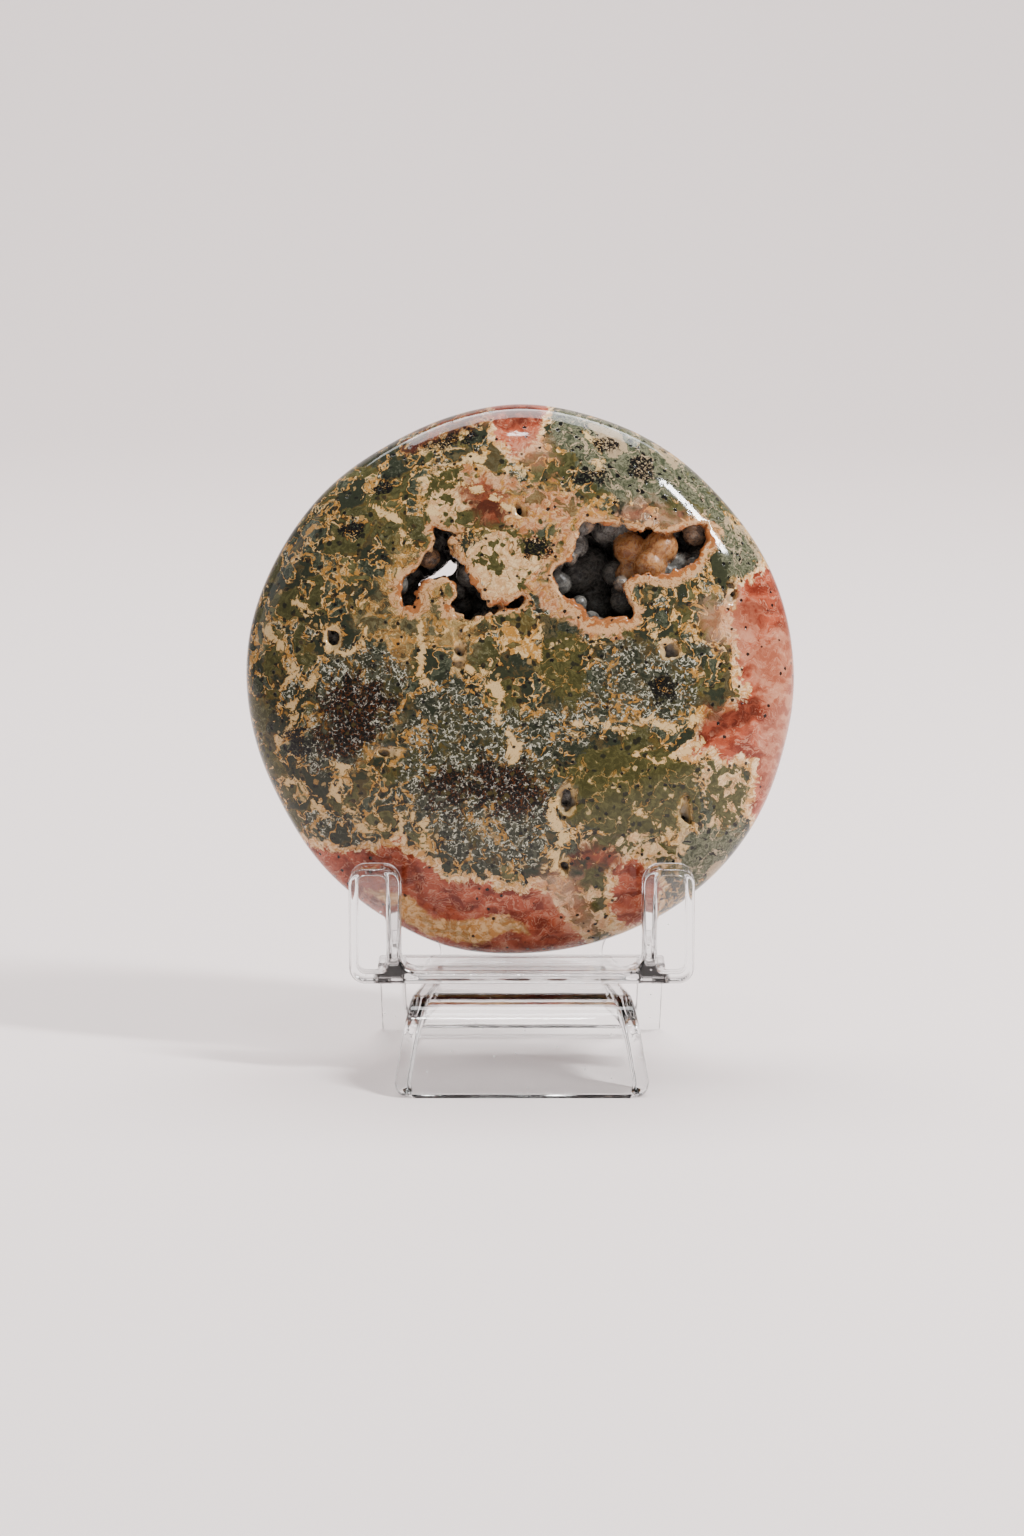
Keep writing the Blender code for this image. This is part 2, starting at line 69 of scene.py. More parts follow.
# The hollows' outlines in the face, and the left one's gap right through, as runs of u and v
RIGHT_MOUTH = (
    3.8, 13.3, 5.3, 10.5, 7.7, 8.7, 8.8, 7.7, 12.2, 7.6, 13.9, 8.0, 13.2, 10.2, 12.7, 11.8, 13.9,
    12.6, 17.0, 13.1, 19.4, 13.5, 21.7, 14.7, 23.1, 16.8, 23.9, 18.3, 22.9, 19.5, 20.8, 19.2, 19.0,
    18.3, 15.9, 18.7, 13.6, 19.0, 10.7, 19.3, 8.1, 19.6, 7.0, 18.4, 6.4, 15.9, 5.2, 14.1,
)
LEFT_MOUTH = (
    -10.9, 19.0, -9.6, 18.5, -8.5, 18.1, -9.2, 16.7, -7.8, 14.8, -6.9, 13.3, -5.4, 10.8, -3.9, 9.1,
    -1.5, 9.5, 0.1, 10.1, -0.5, 8.8, -3.1, 8.6, -4.9, 7.5, -7.6, 7.8, -8.9, 9.2, -8.2, 11.0, -9.4,
    12.6, -11.2, 12.8, -12.9, 11.3, -13.3, 8.7, -14.7, 9.4, -15.2, 11.5, -13.9, 13.5, -11.8, 15.6,
    -11.1, 17.3,
)
LEFT_THROUGH = (
    -9.7, 18.4, -9.1, 17.7, -9.2, 16.0, -8.1, 14.9, -9.0, 13.4, -10.0, 12.9, -12.3, 12.1, -13.7,
    12.2, -12.5, 13.4, -10.6, 14.3, -9.6, 15.9,
)
RIGHT_FLOOR, LEFT_FLOOR = -4.5, -3.5
# Rounding where lumps meet each other and the wall, and at the rims of hollows and pits
LUMP_FILLET, WALL_FILLET, MOUTH_ROUNDING, PIT_ROUNDING = 0.16, 0.3, 0.3, 0.18

# The larger lumps: right, up, to the front, radius, and how orange (1) or grey-black (0) they are
LUMPS = (
    (7.0, 16.9, 4.2, 1.5, 0.1), (6.9, 13.4, -1.8, 2.6, 0.0), (8.6, 14.0, -3.6, 3.4, 0.05),
    (9.4, 9.4, -3.2, 2.6, 0.0), (11.9, 13.6, 0.8, 1.7, 0.1), (12.9, 9.9, 2.4, 1.7, 0.3),
    (13.4, 13.4, 3.0, 1.5, 0.6), (12.9, 18.9, 2.0, 2.0, 0.15), (13.7, 16.6, 3.2, 2.1, 0.95),
    (16.2, 14.4, 4.4, 2.1, 0.85), (17.6, 16.7, 4.0, 2.2, 0.75), (20.2, 14.2, 1.6, 2.2, 0.15),
    (22.0, 18.6, 2.6, 1.7, 0.45), (16.4, 13.0, 1.4, 2.2, 0.5), (10.4, 19.0, 1.6, 1.7, 0.1),
    (4.9, 12.2, 2.6, 1.5, 0.15), (7.0, 9.2, 2.2, 1.2, 0.1), (-12.0, 16.2, 3.0, 1.7, 0.25),
    (-11.0, 18.2, 1.2, 1.5, 0.1), (-14.6, 12.6, 1.0, 1.6, 0.1), (-14.3, 9.8, 1.4, 1.4, 0.1),
    (-10.6, 11.4, 3.0, 1.9, 0.9), (-6.6, 11.9, -1.8, 1.7, 0.0), (-5.6, 9.4, -1.4, 2.0, 0.0),
    (-3.6, 9.0, -0.6, 1.6, 0.05), (-7.6, 9.6, 0.4, 1.6, 0.1),
)
# Open pits in the polished face: right, up, width, height, depth
FACE_PITS = (
    (-0.3, 21.0, 1.5, 1.4, 2.4), (-23.7, 5.1, 2.0, 3.0, 2.6), (18.6, 3.4, 2.4, 1.9, 2.0),
    (26.5, 10.7, 0.9, 2.6, 2.0), (-7.8, 2.8, 1.2, 3.4, 1.4), (5.7, -15.3, 2.2, 3.6, 1.8),
    (20.5, -17.1, 1.4, 3.6, 1.6), (5.4, -23.6, 1.0, 2.0, 1.4), (-16.6, -9.2, 2.6, 0.9, 1.4),
)


def smooth_outline(corners, steps=6):
    """A closed curve through the corners: between each two of them, the cubic whose slope at a
    corner is half the way from the corner before it to the one after it."""
    p1 = np.reshape(corners, (-1, 2)).astype(float)
    p0, p2, p3 = (np.roll(p1, turn, 0)[:, None] for turn in (1, -1, -2))
    p1 = p1[:, None]
    t = (np.arange(steps) / steps)[None, :, None]
    curve = 2 * p1 + (p2 - p0) * t + (2 * p0 - 5 * p1 + 4 * p2 - p3) * t**2
    curve = curve + (3 * p1 - p0 - 3 * p2 + p3) * t**3
    return 0.5 * curve.reshape(-1, 2)


def squared_distance(x, y, start, end):
    """The square of the distance to the straight stretch between two corners."""
    (ax, ay), (ex, ey) = start, np.subtract(end, start)
    share = np.clip(((x - ax) * ex + (y - ay) * ey) / (ex * ex + ey * ey + 1e-12), 0, 1)
    return (x - ax - share * ex) ** 2 + (y - ay - share * ey) ** 2


def outline_distance(x, y, outline):
    """Signed distance to a closed outline, negative inside: the least distance to any of its
    edges, with the sign from whether a ray to the right crosses an odd number of them."""
    x, y = np.broadcast_arrays(x, y)
    least = np.full(x.shape, np.inf)
    inside = np.zeros(x.shape, bool)
    outline = np.asarray(outline, float)
    for start, end in zip(outline, np.roll(outline, -1, 0)):
        least = np.minimum(least, squared_distance(x, y, start, end))
        (ax, ay), (bx, by) = start, end
        if ay != by:
            inside ^= ((ay > y) != (by > y)) & (x < ax + (y - ay) / (by - ay) * (bx - ax))
    return np.where(inside, -1, 1) * np.sqrt(least)


class Chart:
    """An outline's signed distance on a fine grid, read between its points by linear shares."""

    def __init__(self, outline, low, high, step=0.1):
        self.low = np.array(low, float)
        self.step = step
        x, y = (np.arange(a, b, step) for a, b in zip(low, high))
        self.values = outline_distance(x[:, None], y[None, :], outline)

    def __call__(self, x, y):
        v = self.values
        place_x = np.clip((x - self.low[0]) / self.step, 0, v.shape[0] - 1.001)
        place_y = np.clip((y - self.low[1]) / self.step, 0, v.shape[1] - 1.001)
        i, j = place_x.astype(int), place_y.astype(int)
        a, b = place_x - i, place_y - j
        near = v[i, j] * (1 - b) + v[i, j + 1] * b
        far = v[i + 1, j] * (1 - b) + v[i + 1, j + 1] * b
        return near * (1 - a) + far * a


def ripples(points, size, seed, waves=20):
    """A smooth random field of about -1 to 1: the sum over waves of sin(direction . point + phase),
    with wave lengths round the given size, over the root of half their number."""
    rng = np.random.default_rng(seed)
    ways = rng.normal(size=(waves, 3))
    ways /= np.linalg.norm(ways, axis=1)[:, None]
    ways *= 2 * math.pi / (size * rng.uniform(0.7, 1.5, (waves, 1)))
    phases = rng.uniform(0, 2 * math.pi, waves)
    total = sum(np.sin(points @ way + phase) for way, phase in zip(ways, phases))
    return total / math.sqrt(waves / 2)


def larger(a, b, radius):
    """The larger of two fields, rounded over: max(a, b) + max(r - |a - b|, 0)^2 / (4 r)."""
    return np.maximum(a, b) + np.maximum(radius - np.abs(a - b), 0) ** 2 / (4 * radius)


def smaller(a, b, radius):
    """The smaller of two fields with a fillet between them."""
    return -larger(-a, -b, radius)


def surface_of(field, axes):
    """Points and quads where the field is zero: each cell of the grid that the surface passes
    through gets the mean of the crossings on its edges, and each crossed edge joins the points of
    its four cells. Each point then moves twice by the field over its slope, onto the surface."""
    values = field(*np.ix_(*axes))
    shape = tuple(n - 1 for n in values.shape)
    cells, crossings, quads = [], [], []
    for axis in range(3):
        found = np.argwhere(np.diff(values < 0, axis=axis))
        a, b = values[tuple(found.T)], values[tuple((found + (np.arange(3) == axis)).T)]
        place = np.stack([axes[k][found[:, k]] for k in range(3)], 1)
        ahead = axes[axis][found[:, axis] + 1]
        place[:, axis] += a / (a - b) * (ahead - place[:, axis])
        ring = []
        for first, second in ((0, 0), (1, 0), (1, 1), (0, 1)):
            cell = found.copy()
            cell[:, (axis + 1) % 3] -= first
            cell[:, (axis + 2) % 3] -= second
            ring.append(np.ravel_multi_index(cell.T, shape))
            crossings.append(place)
        cells += ring
        ring = np.stack(ring, 1)
        quads.append(np.where((a < 0)[:, None], ring, ring[:, ::-1]))
    used, where = np.unique(np.concatenate(cells), return_inverse=True)
    crossings = np.concatenate(crossings)
    count = np.bincount(where)
    points = np.stack([np.bincount(where, crossings[:, k]) / count for k in range(3)], 1)
    reach, least_slope, longest_move = 0.02, 0.5, 0.15
    for _ in range(2):
        value = field(*points.T)
        steps = np.eye(3) * reach
        rises = [field(*(points + step).T) - field(*(points - step).T) for step in steps]
        slope = np.stack(rises, 1) / (2 * reach)
        steep = np.maximum((slope**2).sum(1), least_slope**2)
        move = -(value / steep)[:, None] * slope
        length = np.linalg.norm(move, axis=1)[:, None]
        points = points + move * np.minimum(1, longest_move / np.maximum(length, 1e-9))
    return points, np.searchsorted(used, np.concatenate(quads))


def spaced(edges, steps):
    """Grid lines between the edges, with a step of its own for each stretch."""
    lines = []
    for start, end, step in zip(edges, edges[1:], steps):
        lines.append(np.linspace(start, end, max(2, round((end - start) / step) + 1))[:-1])
    return np.concatenate(lines + [np.array([edges[-1]])])


def meshed(name, points, faces, material):
    """A smooth mesh, in metres."""
    mesh = bpy.data.meshes.new(name)
    mesh.from_pydata(points, [], faces)
    mesh.validate()
    mesh.shade_smooth()
    mesh.materials.append(material)
    thing = bpy.data.objects.new(name, mesh)
    bpy.context.scene.collection.objects.link(thing)
    return thing


def finished(name, points, faces, material, node):
    """A finished mesh, from millimetres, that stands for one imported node."""
    thing = meshed(name, (points * MM).tolist(), faces.tolist(), material)
    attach(thing, "root")
    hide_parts(node)
    return thing


def rim_radius(u, v):
    """The stone's radius towards each point: the mean radius and a bell for each swell."""
    angle = np.degrees(np.arctan2(v, u))
    radius = STONE_RADIUS
    for middle, width, height in RIM_SWELLS:
        away = (angle - middle + 180) % 360 - 180
        radius = radius + height * np.exp(-((away / width) ** 2))
    return radius


def lens_height(u, v):
    """Half the thickness: H sqrt(1 - (r / R)^2.6)."""
    share = np.minimum(np.hypot(u, v) / rim_radius(u, v), 1)
    return HALF_THICKNESS * np.sqrt(1 - share**LENS_POWER)


def lens(u, v, w):
    """About the distance to the polished lens: (r / R)^2.6 + (w / H)^2 - 1 over its steepness."""
    radius = rim_radius(u, v)
    share = np.hypot(u, v) / radius
    value = share**LENS_POWER + (w / HALF_THICKNESS) ** 2 - 1
    out = LENS_POWER * share ** (LENS_POWER - 1) / radius
    return value / np.maximum(np.hypot(out, 2 * w / HALF_THICKNESS**2), 0.06)


chart_low, chart_high = (-19.0, 3.0), (28.0, 24.0)
right_mouth = Chart(smooth_outline(RIGHT_MOUTH), chart_low, chart_high)
left_mouth = Chart(smooth_outline(LEFT_MOUTH), chart_low, chart_high)
left_through = Chart(smooth_outline(LEFT_THROUGH), chart_low, chart_high)


def grown_lumps():
    """The larger lumps, and small ones grown at random on the hollows' walls and floors."""
    rng = np.random.default_rng(11)
    wall_top, warm_above = 5.6, 4.5
    lumps = list(LUMPS)
    for outline, chart, floor, wall_count, floor_count in (
        (smooth_outline(RIGHT_MOUTH), right_mouth, RIGHT_FLOOR, 48, 16),
        (smooth_outline(LEFT_MOUTH), left_mouth, LEFT_FLOOR, 60, 14),
    ):
        for point in outline[rng.integers(0, len(outline), wall_count)]:
            radius = rng.uniform(0.6, 1.5)
            u, v = point + rng.normal(0, 0.25, 2)
            w = rng.uniform(floor, wall_top)
            lumps.append((u, v, w, radius, 0.25 * rng.random() + 0.3 * (w > warm_above)))
        while floor_count:
            u, v = rng.uniform(chart_low, chart_high)
            if chart(u, v) < -0.6:
                w = floor + rng.uniform(-0.3, 0.4)
                radius = rng.uniform(1.2, 2.4)
                lumps.append((u, v, w, radius, 0.1 * rng.random()))
                floor_count -= 1
    return np.array(lumps)


lumps = grown_lumps()


def lump_field(points):
    """The lumps run together: -k log(sum of exp(-distance / k)), with k the size of the fillets."""
    total = np.full(len(points), 1e-9)
    for u, v, w, radius, _ in lumps:
        away = np.linalg.norm(points - (u, v, w), axis=1)
        total += np.exp(np.minimum((radius - away) / LUMP_FILLET, 30))
    return -LUMP_FILLET * np.log(total)


def hollow_field(points):
    """The rock round the hollows: outside both mouths, which widen a little below the face and
    crinkle, or below their floors, together with the lumps, and outside the gap right through."""
    u, v, w = points.T
    crinkle = 0.17 * ripples(points, 2.0, 3) + 0.1 * ripples(points, 0.9, 4)
    below = np.clip((lens_height(u, v) - w - 0.5) / 2.5, 0, 1)
    wider = crinkle - 0.45 * below * below * (3 - 2 * below)
    uneven = 0.35 * ripples(points, 3.0, 5)
    right = np.maximum(right_mouth(u, v) + wider, RIGHT_FLOOR + uneven - w)
    left = np.maximum(left_mouth(u, v) + wider, LEFT_FLOOR + uneven - w)
    rock = smaller(-np.minimum(right, left), lump_field(points), WALL_FILLET)
    return np.maximum(rock, -(left_through(u, v) + crinkle * 0.8))


def stone_field(u, v, w):
    """The polished lens less its hollows and pits: the larger of the lens and the rock fields."""
    u, v, w = np.broadcast_arrays(u, v, w)
    shape = u.shape
    outside = lens(u, v, w).ravel()
    u, v, w = u.ravel(), v.ravel(), w.ravel()
    near = (u > chart_low[0]) & (u < chart_high[0]) & (outside < 1)
    near &= (v > chart_low[1]) & (v < chart_high[1])
    mouths_reach = 2.6
    to_mouth = np.minimum(right_mouth(u[near], v[near]), left_mouth(u[near], v[near]))
    near[near] = to_mouth < mouths_reach
    points = np.stack((u[near], v[near], w[near]), 1)
    outside[near] = larger(outside[near], hollow_field(points), MOUTH_ROUNDING)
    for across, up, width, height, depth in FACE_PITS:
        close = (np.abs(u - across) < width + 1) & (np.abs(v - up) < height + 1) & (w > 0)
        face = lens_height(across, up)
        spot = np.stack((u[close], v[close], w[close]), 1)
        off = np.hypot((u[close] - across) / (width / 2), (v[close] - up) / (height / 2))
        off = np.hypot(off, (w[close] - face) / depth)
        pit = (off - 1) * min(width, height) / 2 + 0.22 * ripples(spot, 1.3, 9)
        outside[close] = larger(outside[close], -pit, PIT_ROUNDING)
    return outside.reshape(shape)


# Finer steps where the hollows are
stone_axes = (
    spaced((-36.2, -17.0, 25.5, 36.0), (0.7, 0.325, 0.7)),
    spaced((-36.0, 6.0, 21.5, 36.2), (0.7, 0.325, 0.7)),
    spaced((-10.9, -6.0, 10.9), (0.5, 0.345)),
)
stone_points, stone_faces = surface_of(stone_field, stone_axes)


# The photograph's middle and its pixels' size, and how far left of and below the stone's centre
# that middle is
PHOTO_MIDDLE = (512, 768)
PIXEL = 0.1252
VIEW_LEFT, VIEW_BELOW = 1.21, 11.21


def on_face(places):
    """Places read off the photograph, as millimetres right of and above the stone's centre."""
    x, y = np.reshape(places, (-1, 2)).T
    right, up = (x - PHOTO_MIDDLE[0]) * PIXEL, (PHOTO_MIDDLE[1] - y) * PIXEL
    return np.stack((right - VIEW_LEFT, up - VIEW_BELOW), 1)


# Where each kind of rock shows in the face: its name, and a drawn outline as a run of x and y
# in pixels of the photograph
ZONES = (
    ("pink", 270, 838, 302, 843, 330, 852, 362, 852, 380, 850, 395, 842, 405, 852, 417, 859, 434,
     870, 447, 882, 469, 882, 484, 882, 499, 890, 519, 893, 537, 888, 548, 898, 562, 912, 569, 927,
     584, 939, 590, 960, 600, 1010, 500, 1010, 400, 1000, 320, 950, 260, 880),
    ("pink", 735, 598, 731, 622, 740, 652, 741, 674, 750, 695, 734, 709, 718, 720, 702, 731, 700,
     741, 684, 754, 699, 752, 713, 750, 725, 759, 749, 756, 757, 763, 759, 781, 757, 809, 766, 830,
     810, 830, 830, 760, 830, 680, 825, 600, 800, 560, 755, 575),
    ("pink", 498, 385, 548, 385, 544, 415, 537, 434, 525, 446, 512, 452, 503, 440, 495, 425),
    ("pink", 618, 866, 650, 868, 660, 890, 652, 920, 625, 928, 612, 905, 616, 885),
    ("streak", 362, 890, 387, 893, 412, 900, 430, 917, 449, 922, 469, 922, 489, 917, 514, 920, 531,
     936, 510, 932, 494, 940, 479, 947, 449, 942, 430, 938, 405, 925, 390, 905, 375, 897),
    ("deep", 575, 850, 600, 848, 618, 855, 622, 870, 605, 868, 590, 862, 578, 866),
    ("deep", 705, 712, 730, 705, 755, 700, 762, 715, 740, 725, 712, 735, 698, 738),
    ("deep", 500, 385, 545, 385, 540, 408, 528, 420, 510, 420, 500, 410),
    ("deep", 405, 440, 440, 418, 480, 405, 500, 400, 496, 418, 470, 424, 440, 434, 415, 448),
    ("deep", 460, 482, 485, 478, 506, 500, 500, 524, 482, 520, 465, 505),
    ("pale", 541, 877, 560, 868, 579, 880, 585, 900, 600, 930, 575, 935, 560, 915, 545, 900),
    ("pale", 700, 610, 720, 600, 745, 600, 760, 625, 745, 650, 725, 645, 708, 635),
    ("pale", 620, 515, 645, 505, 690, 515, 712, 528, 700, 535, 660, 527, 630, 525),
    ("pale", 520, 440, 540, 432, 552, 450, 535, 462, 518, 458),
    ("pale", 742, 655, 765, 640, 800, 625, 815, 700, 800, 790, 768, 790, 765, 740, 760, 690),
    ("peach", 469, 468, 511, 477, 526, 489, 554, 484, 583, 504, 615, 518, 626, 527, 583, 530, 572,
     554, 556, 571, 547, 586, 538, 579, 551, 550, 558, 525, 540, 525, 526, 532, 504, 518, 511, 507,
     490, 493),
    ("peach", 526, 586, 547, 580, 561, 593, 583, 614, 633, 619, 636, 629, 597, 632, 572, 629, 554,
     614),
    ("black", 628, 461, 644, 452, 652, 462, 649, 476, 633, 474),
    ("black", 597, 440, 615, 444, 613, 449, 601, 448),
    ("black", 578, 473, 604, 472, 604, 479, 581, 480),
    ("black", 519, 545, 544, 541, 548, 552, 526, 557),
    ("black", 343, 525, 358, 522, 355, 535, 344, 533),
    ("black", 377, 477, 388, 474, 387, 488, 379, 489),
    ("black", 426, 442, 467, 430, 469, 436, 433, 446),
    ("black", 652, 682, 674, 679, 672, 696, 656, 700),
    ("black", 283, 739, 297, 729, 308, 743, 294, 757),
    ("cream", 469, 543, 486, 532, 511, 525, 536, 532, 551, 546, 544, 568, 526, 593, 504, 605, 486,
     600, 474, 579, 467, 561),
    ("cream", 700, 765, 735, 762, 750, 780, 748, 810, 730, 828, 712, 815, 705, 790),
    ("cream", 560, 900, 600, 890, 640, 880, 655, 900, 640, 930, 600, 940, 570, 930),
    ("cream", 590, 835, 640, 838, 680, 850, 670, 862, 620, 856, 580, 850),
    ("cream", 420, 480, 450, 465, 490, 470, 505, 490, 490, 515, 450, 525, 425, 505),
    ("druse", 333, 690, 346, 682, 362, 686, 380, 688, 389, 700, 384, 716, 372, 728, 362, 738, 350,
     749, 335, 756, 322, 752, 320, 736, 330, 722, 328, 704),
    ("druse", 431, 779, 446, 774, 462, 780, 468, 794, 460, 806, 446, 802, 434, 794),
    ("druse", 476, 776, 492, 768, 512, 772, 530, 776, 538, 792, 532, 806, 516, 814, 496, 808, 482,
     798),
    ("silver", 330, 655, 370, 645, 400, 660, 405, 690, 400, 720, 380, 742, 350, 770, 310, 765, 305,
     735, 315, 690),
    ("silver", 415, 700, 450, 680, 480, 700, 520, 715, 560, 705, 590, 690, 600, 650, 640, 640, 690,
     660, 695, 700, 670, 725, 610, 730, 570, 745, 550, 770, 552, 820, 545, 850, 524, 868, 490, 866,
     452, 852, 432, 830, 412, 800, 400, 770),
    ("olive", 545, 640, 560, 632, 580, 634, 586, 650, 583, 670, 586, 690, 575, 700, 560, 698, 546,
     685, 541, 665),
    ("olive", 583, 752, 610, 748, 640, 745, 668, 752, 690, 765, 702, 790, 700, 815, 690, 830, 665,
     835, 640, 838, 612, 835, 590, 828, 565, 820, 567, 790, 572, 765),
    ("sage", 548, 400, 600, 410, 660, 440, 715, 490, 755, 540, 785, 600, 750, 600, 730, 575, 715,
     540, 705, 510, 670, 500, 620, 498, 590, 480, 575, 455, 552, 440),
    ("sage", 685, 830, 720, 830, 745, 815, 740, 850, 710, 880, 690, 890, 680, 860),
    ("tan", 400, 545, 430, 560, 450, 590, 470, 600, 478, 640, 470, 665, 440, 650, 410, 645, 375,
     640, 350, 625, 365, 600, 385, 575),
    ("tan", 385, 650, 410, 636, 412, 660, 402, 674, 385, 672),
    ("tan", 406, 710, 413, 718, 388, 740, 365, 762, 350, 775, 341, 766, 362, 748, 385, 728),
)
# Cream and ochre seams: half a width each in millimetres, and a drawn line in the same way
SEAMS = (
    (0.45, 420, 611, 421, 629, 424, 650, 419, 671, 429, 686),
    (0.4, 435, 646, 454, 658, 472, 671, 498, 676),
    (0.35, 420, 634, 435, 632, 454, 629, 469, 625, 490, 616),
    (0.5, 317, 675, 299, 696, 288, 708, 294, 723, 279, 739),
    (0.4, 286, 779, 301, 790, 313, 804, 326, 821),
    (0.5, 556, 801, 554, 815, 563, 839, 554, 861, 546, 872),
    (0.55, 329, 761, 344, 771, 333, 793, 347, 811, 358, 825, 390, 829),
    (0.5, 397, 823, 408, 811, 419, 825, 426, 846),
    (0.4, 419, 450, 440, 444, 461, 447, 486, 464, 506, 469, 522, 464),
    (0.35, 419, 480, 440, 477, 469, 483, 497, 500, 509, 507),
    (0.35, 419, 480, 426, 504, 440, 518, 454, 523),
    (0.4, 588, 430, 601, 454, 597, 471),
    (0.5, 601, 623, 633, 616, 651, 629, 661, 646, 683, 650, 701, 636),
    (0.4, 329, 629, 326, 646, 344, 654, 361, 646, 365, 632),
    (0.45, 261, 629, 283, 646, 294, 671, 283, 686),
    (0.5, 490, 682, 501, 696, 497, 721, 515, 743, 511, 761),
    (0.4, 576, 723, 597, 721, 626, 729, 651, 721, 676, 732, 701, 718),
    (0.35, 294, 600, 311, 614, 326, 629),
    (0.4, 358, 489, 372, 507, 394, 518, 408, 539, 401, 561, 397, 586, 419, 611),
    (0.35, 629, 804, 651, 821, 669, 832, 683, 846),
    (0.35, 701, 743, 679, 757, 661, 761, 640, 752),
)


def line_distance(x, y, corners):
    """The least distance to an open line through the corners."""
    squares = [squared_distance(x, y, *ends) for ends in zip(corners, corners[1:])]
    return np.sqrt(np.minimum.reduce(squares))


# The layers of rock slant as they go down from the face: to the right and downwards, per depth
SLANT_RIGHT, SLANT_DOWN = 0.2, 0.15
CRUST_DEPTH = 8.0
FAR_AWAY = 9.0

# What the colours need at each point: how far it is outside each kind of rock, the seams, mouths
# and pits, how far below the polish it is, and how orange the nearest lump is
known = {}
face_u, face_v, face_w = stone_points.T
depth_below = lens_height(face_u, face_v) - face_w
slanted = (face_u + SLANT_RIGHT * depth_below, face_v - SLANT_DOWN * depth_below)
for name, *outline in ZONES:
    distance = outline_distance(*slanted, smooth_outline(on_face(outline), 4))
    known[name] = np.minimum(known.get(name, np.inf), distance)
distances = [line_distance(*slanted, on_face(line)) - half for half, *line in SEAMS]
known["seam"] = np.minimum.reduce(distances)
mouths = (smooth_outline(RIGHT_MOUTH, 3), smooth_outline(LEFT_MOUTH, 3))
distances = [outline_distance(face_u, face_v, mouth) for mouth in mouths]
known["mouth"] = np.maximum(np.minimum.reduce(distances), depth_below - CRUST_DEPTH)
known["pit"] = np.full(len(stone_points), FAR_AWAY)
for across, up, width, height, _ in FACE_PITS:
    off = np.hypot((face_u - across) / width, (face_v - up) / height) - 0.5
    off = np.where(face_w > 0, off * min(width, height), FAR_AWAY)
    known["pit"] = np.minimum(known["pit"], off)
known["inside"] = -lens(*stone_points.T)
known["orange"] = np.zeros(len(stone_points))
nearest = np.full(len(stone_points), np.inf)
for *middle, radius, orange in lumps:
    away = np.linalg.norm(stone_points - middle, axis=1) - radius
    known["orange"] = np.where(away < nearest, orange, known["orange"])
    nearest = np.minimum(nearest, away)


class Socket:
    """A shader socket that takes part in arithmetic: each operation adds one Math node."""

    def __init__(self, maker, socket):
        self.maker, self.socket = maker, socket

    def calc(self, operation, *values):
        return self.maker.node("ShaderNodeMath", values, operation=operation)[0]

    def __add__(self, other):
        return self.calc("ADD", self, other)

    def __sub__(self, other):
        return self.calc("SUBTRACT", self, other)

    def __mul__(self, other):
        return self.calc("MULTIPLY", self, other)

    def __rsub__(self, other):
        return self.calc("SUBTRACT", other, self)

    __radd__ = __add__
    __rmul__ = __mul__

    def __abs__(self):
        return self.calc("ABSOLUTE", self)

    def most(self, other):
        return self.calc("MAXIMUM", self, other)

    def under(self, share, top):
        """This colour under another one, which shows where share is 1."""
        return self.maker.mix(share, self, top)

    def rise(self, low, high):
        """A soft step from 0 at low to 1 at high."""
        inputs = {0: self, 1: low, 2: high}
        return self.maker.node("ShaderNodeMapRange", inputs, interpolation_type="SMOOTHSTEP")[0]

    def fall(self, low, high):
        """A soft step from 1 at low to 0 at high."""
        return 1.0 - self.rise(low, high)

    def near(self, level, low, high):
        """1 within low of a level, and 0 from high away from it."""
        return abs(self - level).fall(low, high)


